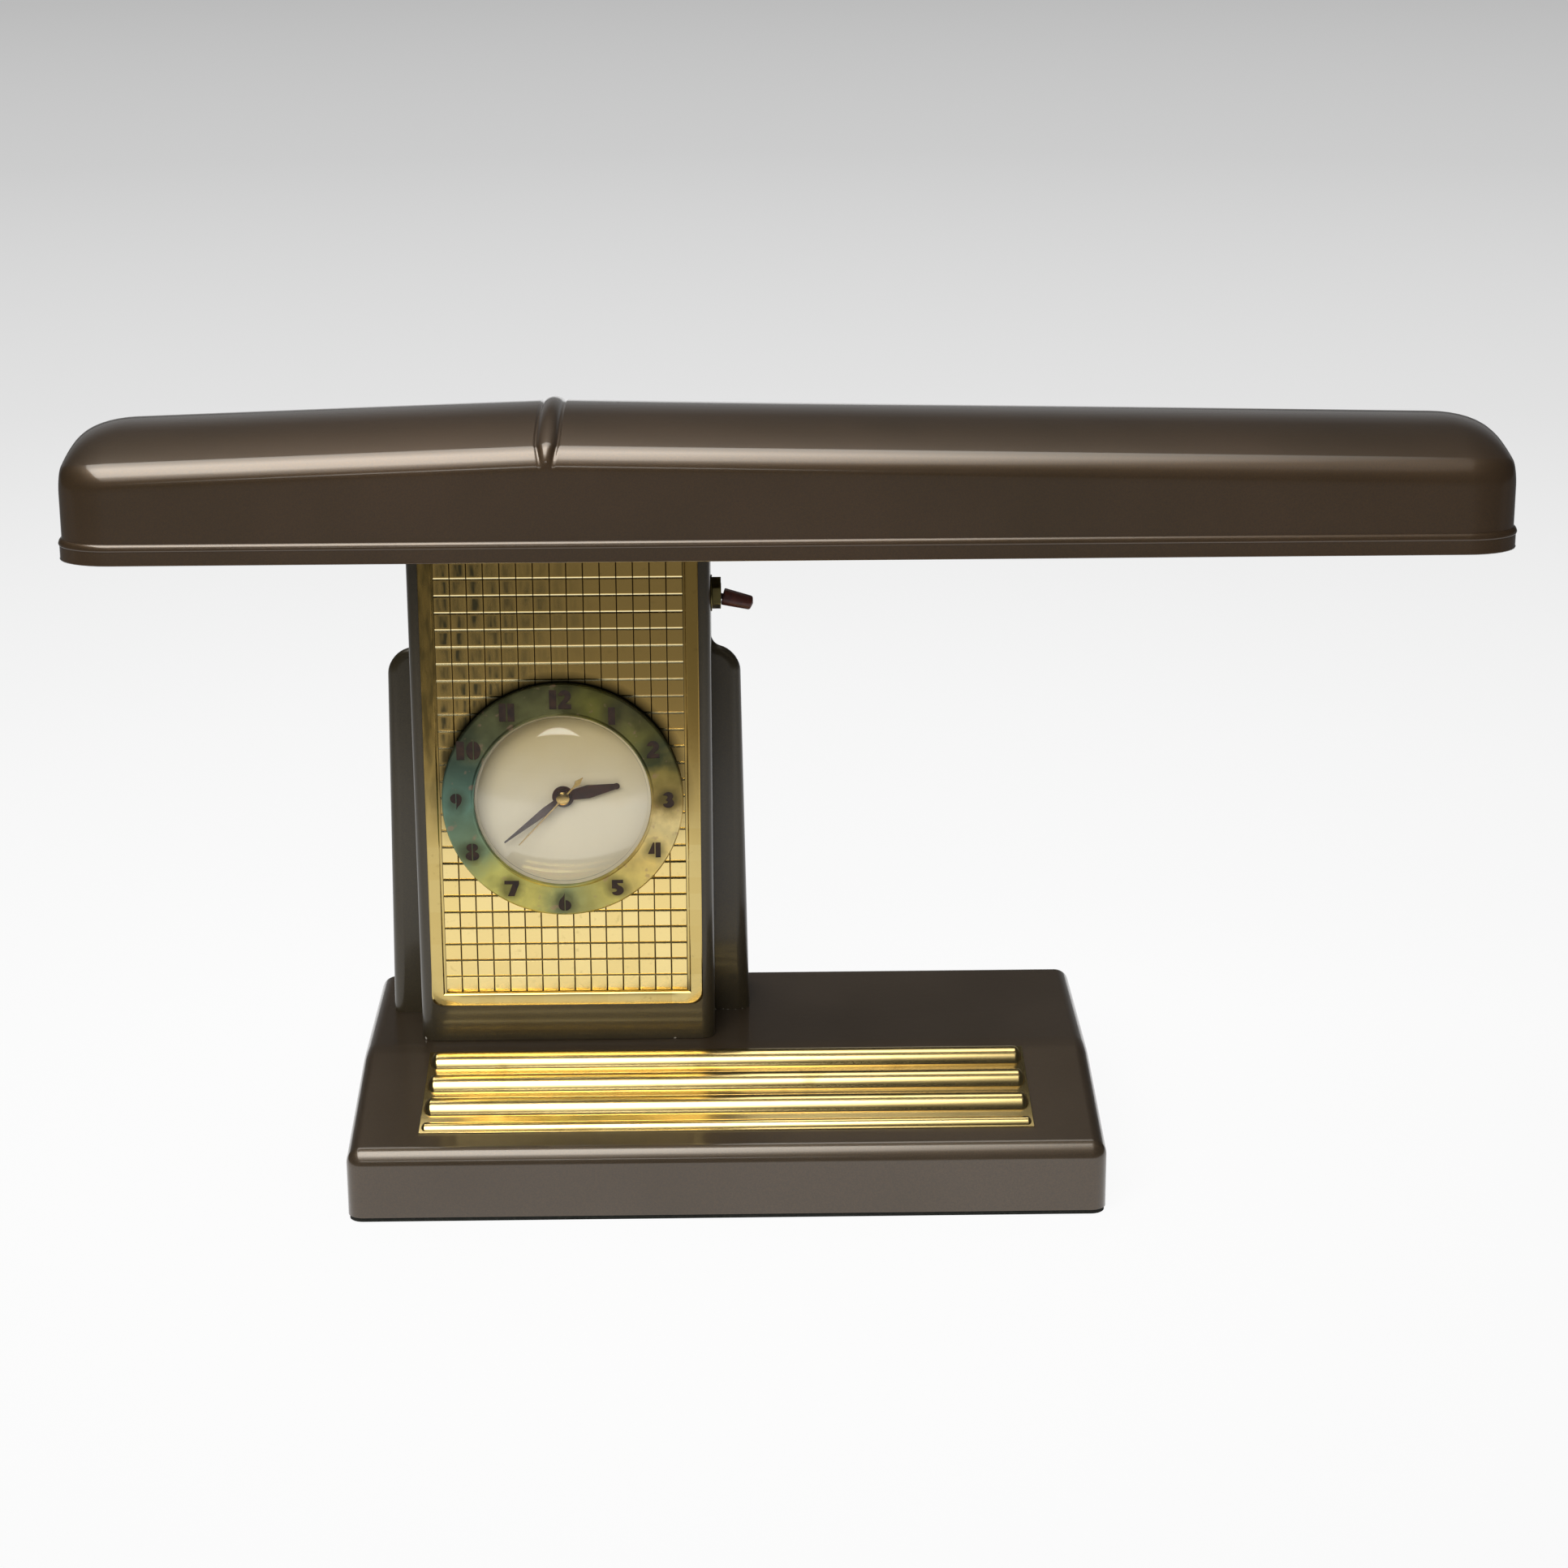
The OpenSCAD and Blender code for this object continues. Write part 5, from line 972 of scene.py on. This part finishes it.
# %% Trim on its plate
TRIM_W, TRIM_D, TRIM_T, TRIM_START = 219.0, 57.5, 0.4, -4.0
RIB_W, RIB_H, RIB_PITCH, LIP_W, LIP_H = 11.0, 3.5, 16.5, 5.5, 1.5
bm = bmesh.new()
block(bm, (-TRIM_W / 2, TRIM_START - TRIM_D, 0.02), (TRIM_W / 2, TRIM_START, TRIM_T))
upright = [e for e in bm.edges if abs(e.verts[0].co.z - e.verts[1].co.z) > 0.5]
bevelled(bm, upright, 6, 8)
top_edges = edges_where(bm, lambda p: p.z > 0.3, bend=60)
bevelled(bm, top_edges, 0.2, 3)
for i in range(3):
    rib_y = TRIM_START - 2 - RIB_W / 2 - i * RIB_PITCH
    add_rib(bm, TRIM_W - 1.6, RIB_W, RIB_H, rib_y, TRIM_T - 0.01)
lip_y = TRIM_START - TRIM_D + LIP_W / 2 + 1
add_rib(bm, TRIM_W - 1.6, LIP_W, LIP_H, lip_y, TRIM_T - 0.01)
on_slope = (Matrix.Translation((0, BASE_BEND, BASE_REAR_H + BASE_EDGE * (1 / cos(SLOPE) - 1)))
            @ Matrix.Rotation(SLOPE, 4, "X"))
bmesh.ops.transform(bm, matrix=on_slope, verts=bm.verts)
piece("ribbed_trim", bm, trim_brass, ["base_trim"], smooth=40)

# %% [markdown]
# ## The numeral ring
# The ring is turned from thick brass, so its profile is spun round the dial's axis: a skirt that
# holds the case, a flat face, a rounded outer edge and a thin bead next to the glass.

# %% Numeral ring
AXIS = (COLUMN_X, 0, CLOCK_Z)
bm = bmesh.new()
turned(bm, [(32.2, 0.2), (32.2, -0.8), (32.35, -1.1), (32.7, -1.25), (33.1, -1.12), (33.3, -0.85),
            (33.5, -0.8), (43.1, -0.8), (43.6, -0.66), (43.9, -0.3), (44, 0.1), (44, 1.55),
            (39.4, 1.55), (39.4, 9.05), (38.6, 9.05), (38.6, 0.2), (32.2, 0.2)], AXIS,
       (0, 1, 0), 128)
ring = piece("numeral_ring", bm, ring_brass, ["clock_ring"], smooth=40)

# %% [markdown]
# The numerals are heavy and upright, in the manner of the 1930s: round figures are two thick
# halves parted by a thin slit, and a one is a plain bar. A font would look wrong here, so each
# figure is a flat face from a few corners in a box 4.2 wide and 6.5 high. The faces are extruded
# and cut into the ring, and the same faces a little lower stand for the dark wax in the cuts.

# %% Draw the figures
def bow(cx, cy, rx, ry, start, end, steps=10):
    """Corners along a part of an ellipse, with angles in degrees."""
    angles = [radians(start + (end - start) * i / steps) for i in range(steps + 1)]
    return [(cx + rx * cos(a), cy + ry * sin(a)) for a in angles]


LEFT_BOWL = ([(1.95, 0), (1.95, 3.6), (2.1, 6.5)] + bow(2.6, 1.9, 2.6, 3.6, 115, 180, 6)
             + bow(1.95, 1.9, 1.95, 1.9, 180, 268, 8))
RIGHT_BOWL = bow(2.25, 1.95, 1.95, 1.95, -90, 90, 12)
FIGURES = {
    "0": [bow(1.95, 3.25, 1.95, 3.25, 90, 270, 16), bow(2.25, 3.25, 1.95, 3.25, -90, 90, 16)],
    "1": [[(0, 0), (2.3, 0), (2.3, 6.5), (0, 6.5)]],
    "2": [[(0, 4.5)] + bow(2.1, 4.45, 2.05, 2.05, 175, -35) + [(2.3, 1.7), (4.2, 1.7), (4.2, 0),
          (0, 0), (0, 1.2), (1.9, 3.6), (2.2, 4.3), (1.9, 4.9), (1.6, 4.5)]],
    "3": [[(0.1, 5.2)] + bow(2.1, 4.8, 1.7, 1.7, 150, -42, 9) + bow(2.1, 1.95, 1.95, 1.95, 48, -150)
          + [(0.3, 1.7), (1.6, 1.9), (2.0, 2.5), (1.2, 3.2), (1.9, 4.3), (1.6, 4.9)]],
    "4": [[(0, 1.5), (2.2, 1.5), (2.2, 6.5), (1.7, 6.5)], [(2.5, 0), (4.2, 0), (4.2, 6.5),
                                                           (2.5, 6.5)]],
    "5": [[(0.3, 6.5), (0.3, 2.9), (1.6, 2.9), (2.0, 2.3), (1.6, 1.7), (0.3, 1.4)]
          + bow(2.05, 2.15, 2.15, 2.15, -140, 78) + [(2.0, 5.1), (4.0, 5.1), (4.0, 6.5)]],
    "6": [LEFT_BOWL, RIGHT_BOWL],
    "7": [[(0, 6.5), (0, 5.0), (2.3, 5.0), (0.9, 0), (2.8, 0), (4.2, 5.1), (4.2, 6.5)]],
    "8": [bow(1.95, 4.95, 1.65, 1.55, 90, 250, 9) + bow(1.95, 1.75, 1.95, 1.75, 115, 270, 9),
          bow(2.25, 1.75, 1.95, 1.75, -90, 65, 9) + bow(2.25, 4.95, 1.65, 1.55, -70, 90, 9)],
    "9": [[(4.2 - x, 6.5 - y) for x, y in LEFT_BOWL], [(4.2 - x, 6.5 - y) for x, y in RIGHT_BOWL]],
}
FIGURE_W, FIGURE_H, GAP = 4.2, 6.5, 0.55
ADVANCE = {"1": 2.3}  # a one is narrower
print("figures drawn:", "".join(sorted(FIGURES)))

# %% [markdown]
# On the real ring no two numerals have quite the same size, so each hour has its own distance from
# the axis, width and height. Cutting is a boolean: the blocks are taken out of the ring.

# %% Place the figures on the ring
# hour: distance from the dial's axis, width and height in mm
HOURS = {1: (36.9, 2.5, 6.6), 2: (38.4, 4.6, 6.6), 3: (38.5, 4.6, 6.1), 4: (38.2, 4.7, 5.8),
         5: (38.7, 4.7, 6.1), 6: (38.8, 4.7, 6.9), 7: (38.6, 5.4, 6.0), 8: (38.5, 5.0, 6.6),
         9: (38.7, 4.3, 6.3), 10: (38.8, 8.8, 7.0), 11: (38.8, 5.6, 6.8), 12: (38.3, 8.0, 7.2)}


def figures_block(y0, y1):
    """All twelve numerals as closed blocks between two depths."""
    bm = bmesh.new()
    for hour, (distance, width, height) in HOURS.items():
        digits = str(hour)
        run = sum(ADVANCE.get(d, FIGURE_W) for d in digits) + GAP * (len(digits) - 1)
        cx = COLUMN_X + distance * sin(radians(30 * hour))
        cz = CLOCK_Z + distance * cos(radians(30 * hour))
        start = 0
        for d in digits:
            for outline in FIGURES[d]:
                bm.faces.new([bm.verts.new((
                    cx + (start + x - run / 2) * width / run, y0,
                    cz + (y - FIGURE_H / 2) * height / FIGURE_H)) for x, y in outline])
            start += ADVANCE.get(d, FIGURE_W) + GAP
    bmesh.ops.remove_doubles(bm, verts=bm.verts, dist=0.001)
    bmesh.ops.translate(bm, vec=(0, y1 - y0, 0), verts=extruded(bm, bm.faces[:])[1])
    return bm


carved(ring, figures_block(-2.0, -0.45))
piece("numeral_filling", figures_block(-0.66, -0.4), FINISHES["numeral_wax"],
      smooth=30)
rounded(ring, 0.12, angle=50)

# %% [markdown]
# ## Glass, dial and hands
# The glass is a shallow dome, spun from an outer and an inner arc so that it has a real thickness,
# and light bends through it as it should. The dial is a plain card disc with a hole. The hands keep
# their CAD shapes, with the faintest rounding, because stamped hands have soft edges.

# %% Clock glass
def ball_cap(edge_r, ball_r, tip_y):
    """A shallow cap of a ball, from its tip to its edge, as (radius, along) points."""
    return [(edge_r * i / 24, tip_y + ball_r - sqrt(ball_r ** 2 - (edge_r * i / 24) ** 2))
            for i in range(25)]


TIP_Y = -6.3
outer = ball_cap(31.95, 81.8, TIP_Y)
inner = ball_cap(30.9, 80.6, TIP_Y + 1.2)[::-1]
print("dome edge at", [round(v, 2) for v in outer[-1]], "inner", [round(v, 2) for v in inner[0]])
bm = bmesh.new()
turned(bm, outer + [(31.95, 0.2), (38.5, 0.22), (38.5, 1.4), (30.9, 1.4)] + inner,
       AXIS, (0, 1, 0), 96)
glass = piece("clock_glass", bm, clock_glass, ["crystal"], smooth=60)
glass.visible_shadow = False

# %% [markdown]
# The hands turn with their own bodies, one over the other, and a small turned cap closes them. The
# cap rides on the second hand, which is the topmost.

# %% Dial and hands
bm = bmesh.new()
turned(bm, [(3.45, 6.6), (38.2, 6.6), (38.4, 6.75), (38.4, 7.2), (3.45, 7.2), (3.45, 6.6)], AXIS,
       (0, 1, 0), 96)
piece("dial_card", bm, dial_card, ["dial"])
for node, body, finish, slot in (("hour_hand", "hour", FINISHES["hand_lacquer"], "hand_enamel"),
                                 ("minute_hand", "minute", FINISHES["hand_lacquer"], "hand_enamel"),
                                 ("second_hand", "second", small_brass, "brass")):
    hand = piece(node + "_stamped", merged_copy(node), finish, [node], body)
    rounded(hand, 0.1)
bm = bmesh.new()
turned(bm, [(0, 1.55), (1.2, 1.6), (2.1, 1.78), (2.4, 2.0), (2.4, 2.1), (0, 2.1)], AXIS,
       (0, 1, 0), 48)
piece("hand_cap", bm, small_brass, body="second")

# %% [markdown]
# ## The switch
# A brass washer and a six-sided nut hold the toggle switch. Its lever is a bakelite handle, turned
# on a small ball inside the neck. The handle's profile is spun round its own sloping axis.

# %% Switch lever, washer and nut
PIVOT = Vector((-5.0, SWITCH_Y, SWITCH_Z + 0.6))
down = radians(14)
along_lever = (cos(down), 0, -sin(down))
bm = bmesh.new()
ball = [(2.35 * sin(radians(a)), -2.35 * cos(radians(a))) for a in range(0, 151, 15)]
turned(bm, ball + [(1.1, 2.4), (1.1, 6.1), (2.8, 6.2), (3.1, 6.35), (3.2, 6.65), (2.68, 16.1),
                   (2.55, 16.5), (2.2, 16.74), (1.0, 16.8), (0, 16.8)], PIVOT, along_lever, 48)
rod(bm, 0.7, PIVOT - Vector((0, 3.15, 0)), PIVOT + Vector((0, 3.15, 0)), 16)
piece("bakelite_lever", bm, red_bakelite, ["switch_lever"], "lever", 50)
for node in ("switch_washer", "switch_nut"):
    rounded(piece(node + "_brass", merged_copy(node), switch_brass, [node]), 0.2)

# %% [markdown]
# ## The lamp under the shade
# Seen from below, a fluorescent tube in white lampholders runs the length of the shade, under a
# reflector painted dark as painted shade. The tube is spun as one smooth form with drawn-in ends. A
# real cap is one drawn cup of aluminium with a rolled groove and two pins, so it is spun too.

# %% Tube and its caps
HALF_TUBE, PIN_OFFSET = 218.3, 6.35
TUBE_LEFT, TUBE_RIGHT = SHADE_X - HALF_TUBE, SHADE_X + HALF_TUBE
bm = bmesh.new()
turned(bm, [(0, TUBE_LEFT + 15), (11.4, TUBE_LEFT + 15), (12.4, TUBE_LEFT + 17),
            (12.4, TUBE_RIGHT - 17), (11.4, TUBE_RIGHT - 15), (0, TUBE_RIGHT - 15)],
       (0, TUBE_Y, TUBE_Z), (1, 0, 0), 64)
piece("fluorescent_tube", bm, FINISHES["tube"], ["tube_glass"], "tube", 50)
bm = bmesh.new()
for face, inward in ((TUBE_LEFT, 1), (TUBE_RIGHT, -1)):
    turned(bm, [(0, face), (11.9, face), (12.5, face + 0.5 * inward), (12.7, face + 1.2 * inward),
                (12.7, face + 14 * inward), (12.55, face + 14.6 * inward),
                (12.7, face + 15.2 * inward), (12.6, face + 18 * inward),
                (12.42, face + 18 * inward), (12.42, face + 10 * inward), (0, face + 10 * inward)],
           (0, TUBE_Y, TUBE_Z), (1, 0, 0), 64)
    for s in (-1, 1):
        turned(bm, [(0, face - 7 * inward), (0.8, face - 6.9 * inward), (1.15, face - 6.2 * inward),
                    (1.15, face + 1 * inward), (0, face + 1 * inward)],
               (0, TUBE_Y, TUBE_Z + s * PIN_OFFSET), (1, 0, 0), 20)
piece("tube_end_caps", bm, FINISHES["aluminium"], ["tube_caps"], "tube")

# %% [markdown]
# ## The pieces that keep their CAD shape
# The rest is right as it is. What can be seen from outside or from below is copied, merged into
# clean faces and given soft edges. What is closed inside keeps its CAD mesh, and only gets its
# finish.

# %% Soft edges on the outer small pieces
OUTER = {
    # node: its finish and the width of its soft edges in mm
    "cord_grommet": ("rubber", 0.5), "back_screws": ("zinc_steel", 0.3),
    "bottom_screws": ("zinc_steel", 0.3), "set_knob": ("black_bakelite", 0.25),
    "reflector": ("white_enamel", 0.15), "lampholder_left": ("white_urea", 0.8),
    "lampholder_right": ("white_urea", 0.8), "holder_brackets": ("zinc_steel", 0.2),
    "starter": ("aluminium", 0.8), "starter_socket": ("white_urea", 0.5),
    "starter_bracket": ("zinc_steel", 0.2), "shade_bracket": ("zinc_steel", 0.2),
    "bracket_screws": ("zinc_steel", 0.2), "bottom_plate": ("zinc_steel", 0.2),
}
body_of = {n: body for body, nodes in frame["record"]["behaviour"]["bodies"].items() for n in nodes}
for node, (finish, width) in OUTER.items():
    slot = "steel" if finish == "zinc_steel" else finish
    rounded(piece(node + "_finished", merged_copy(node), FINISHES[finish], [node],
                  body_of[node]), width)

# %% [markdown]
# The clock's wheels and plates, the motor and the ballast stay inside. A new finish on the CAD mesh
# is enough for them, and keeps the model light.

# %% Finishes on the inner pieces
INNER = {
    "zinc_steel": ["cover_posts", "column_bolts", "ring_nuts", "crystal_retainer", "clock_case",
                   "second_arbor", "cannon_pinion", "minute_stud", "movement_pillars", "set_shaft",
                   "reflector_posts", "ballast_screws"],
    "plate_brass": ["front_plate", "back_plate", "hour_wheel", "minute_wheel", "ring_studs"],
    "iron_sheets": ["field_core"],
    "winding": ["field_coil"],
    "copper": ["rotor_unit"],
    "black_bakelite": ["switch_body"],
    "ballast": ["ballast"],
}
for finish, nodes in INNER.items():
    for node in nodes:
        kept = frame["nodes"][node].data
        kept.materials.clear()
        kept.materials.append(FINISHES[finish])
print("inner pieces dressed:", sum(len(nodes) for nodes in INNER.values()))

# %% [markdown]
# ## The studio
# The photograph was taken on a white table that fades to grey far behind. The lamps light the floor
# only a little. For the camera and for reflections it glows by itself, which keeps it white without
# putting more light on the lamp. What the brass mirrors is the table in front: white near the lamp
# and dark further towards the camera, so reflections get a floor that darkens to the front and
# beside.

# %% Floor
floor_finish, tree, place = start_finish("studio_floor")
axes = add(tree, "SeparateXYZ", [place], out=None)
flat = add(tree, "CombineXYZ", [axes["X"], axes["Y"]])
reach = add(tree, "VectorMath LENGTH", [flat], out="Value")
reach_part = add(tree, "MapRange", [reach, 0.0, 6.0])
seen = add(tree, "ValToRGB", [reach_part], stops=[(0.0, "#ffffff"), (0.04, "#fdfdfd"),
    (0.1, "#f8f8f8"), (0.17, "#f0f0f0"), (0.25, "#e4e4e4"), (0.5, "#cfcfcf"), (0.9, "#bdbdbd")])
front_part = add(tree, "MapRange", [axes["Y"], -1.5, 0.5])
table = add(tree, "ValToRGB", [front_part], stops=[(0.0, 0.1), (0.4, 0.13), (0.48, 0.17),
    (0.52, 0.32), (0.56, 0.75), (0.59, 0.9), (0.66, 0.9), (0.69, 0.78)])
aside = add(tree, "Math ABSOLUTE", [axes["X"]])
beside = add(tree, "MapRange", [aside, 0.25, 0.8, 1.0, 0.08])
mirrored = add(tree, "Math MULTIPLY", [table, beside])
mirrored = add(tree, "Math MULTIPLY", [mirrored, 1.22])
rays = add(tree, "LightPath", out=None)
glow_colour = add(tree, "Mix", {0: rays["Is Camera Ray"], 6: mirrored, 7: seen}, **TONES)
glow = add(tree, "Emission", {"Color": glow_colour, "Strength": 1.04})
lit = add(tree, "BsdfDiffuse", {"Color": "#e8e8e8"})
shiny = add(tree, "Math MAXIMUM", [rays["Is Glossy Ray"], rays["Is Transmission Ray"]])
either = add(tree, "Math MAXIMUM", [shiny, rays["Is Camera Ray"]])
share = add(tree, "Math MULTIPLY", [either, 0.9])
mixed = add(tree, "MixShader", [share, lit, glow])
add(tree, "OutputMaterial", {"Surface": mixed})

bm = bmesh.new()
bmesh.ops.create_grid(bm, x_segments=2, y_segments=2, size=15)
floor = as_object(bm, "studio_floor", floor_finish)
print("floor:", len(tree.nodes), "nodes")

# %% [markdown]
# The room is grey. In reflections it is dark, but behind the lamp the foot of the wall glows
# faintly, which shows on the slope of the trim.

# %% Room
world = bpy.data.worlds.new("studio_room")
bpy.context.scene.world = world
world.use_nodes = True
tree = world.node_tree
tree.nodes.clear()
towards = add(tree, "SeparateXYZ", [add(tree, "TexCoord", out="Generated")], out=None)
behind = add(tree, "MapRange", [towards["Y"], 0.75, 0.98])
rise = add(tree, "ValToRGB", [towards["Z"]], stops=[(0.0, 0.24), (0.1, 0.2), (0.2, 0.12),
    (0.3, 0.04)])
room = add(tree, "Mix", {0: behind, 6: "#2a2a2a", 7: rise}, **TONES)
rays = add(tree, "LightPath", out=None)
not_shiny = add(tree, "Mix", {0: rays["Is Glossy Ray"], 6: "#8c8c8c", 7: room}, **TONES)
sky = add(tree, "Background", {"Color": not_shiny, "Strength": 1.0})
add(tree, "OutputWorld", {"Surface": sky})
print("room:", len(tree.nodes), "nodes")

# %% [markdown]
# Two large, weak lights fill the top and the upright faces. They are hidden from reflections and
# refractions, because the photograph shows other shapes there, and those are made next.

# %% Soft lights
def soft_light(name, place_mm, target_mm, size_x, size_y, watts):
    """A rectangular soft light in metres, aimed at a point."""
    lamp = bpy.data.lights.new(name, "AREA")
    lamp.shape = "RECTANGLE"
    lamp.size, lamp.size_y = size_x, size_y
    lamp.energy = watts
    holder = bpy.data.objects.new(name, lamp)
    holder.location = Vector(place_mm) * MM
    aim = (Vector(target_mm) - Vector(place_mm)).to_track_quat("-Z", "Y")
    holder.rotation_euler = aim.to_euler()
    bpy.context.scene.collection.objects.link(holder)
    holder.visible_glossy = holder.visible_transmission = False
    print(f"{name}: {watts} W over {size_x} by {size_y} m")


soft_light("overhead_fill", (-330, 300, 1300), (-330, 300, 0), 0.9, 1.4, 4)
soft_light("front_fill", (-700, -1700, 1300), (0, 0, 120), 1.6, 1.2, 24)

# %% [markdown]
# What the enamel and the glass mirror is a soft box: a cloth over the lamp, 1.3 by 2.7 m, brightest
# along its left side. Its slanted edge gives the highlight on the shoulder of the shade, which
# fades to one side. It's a flat sheet that glows, and only reflections see it.

# %% Glowing cloth
def glowing_sheet(name, finish, placed):
    """A flat glowing sheet of one metre square, placed by a matrix and seen only in reflections."""
    bm = bmesh.new()
    bmesh.ops.create_grid(bm, x_segments=1, y_segments=1, size=0.5, matrix=placed)
    made = as_object(bm, name, finish)
    made.visible_camera = made.visible_diffuse = made.visible_shadow = False


cloth_glow, tree, place = start_finish("softbox_cloth")
axes = add(tree, "SeparateXYZ", [place], out=None)
slanted = add(tree, "Math MULTIPLY_ADD", [axes["Y"], -0.22, axes["X"]])
across = add(tree, "MapRange", [slanted, 0.0, 0.42, 7.0, 0.35])
lengthways = add(tree, "MapRange", [axes["Y"], -1.7, 1.0])
ends = add(tree, "ValToRGB", [lengthways], stops=[(0.0, 0.1), (0.15, 0.2), (0.26, 0.4), (0.36, 1.0),
    (0.62, 1.0), (0.76, 0.5), (1.0, 0.2)])
even = add(tree, "Math MULTIPLY", [across, ends])
surface(tree, "Emission", {"Color": "#fffdf6", "Strength": even})
glowing_sheet("softbox_cloth", cloth_glow,
              Matrix.Translation((-0.1, -0.35, 1.25)) @ Matrix.Diagonal((1.3, 2.7, 1, 1)))
print("cloth over the lamp, 1.25 m up")

# %% [markdown]
# A narrow crescent of light stands in front and a little to the left. It gives the arc in the
# clock's glass and the thin line on the front edge of the base. Two parabolas bound it.

# %% Crescent in front
strip_glow, tree, place = start_finish("front_strip")
axes = add(tree, "SeparateXYZ", [place], out=None)
aside = add(tree, "Math ADD", [axes["X"], 0.16])
squared = add(tree, "Math MULTIPLY", [aside, aside])
height = add(tree, "Math ADD", [axes["Z"], -0.66])
upper_arc = add(tree, "Math MULTIPLY_ADD", [squared, -1.4, 0.05])
under = add(tree, "Math SUBTRACT", [upper_arc, height])
lower_arc = add(tree, "Math MULTIPLY_ADD", [squared, 0.3, 0.05])
over = add(tree, "Math ADD", [lower_arc, height])
between = add(tree, "Math MINIMUM", [under, over])
crescent = add(tree, "MapRange", [between, 0.0, 0.02, 0.0, 4.0])
surface(tree, "Emission", {"Color": "#fffdf6", "Strength": crescent})
glowing_sheet("front_strip", strip_glow, Matrix.Translation((-0.16, -1.24, 0.66))
              @ Matrix.Rotation(radians(70), 4, "X") @ Matrix.Diagonal((0.6, 0.22, 1, 1)))
print("strip in front of the lamp, 0.66 m up")

# %% [markdown]
# ## Finish
# The view layer is updated once more. The dressed lamp has to stay inside the CAD
# model's box.

# %% Update the view layer
bpy.context.view_layer.update()
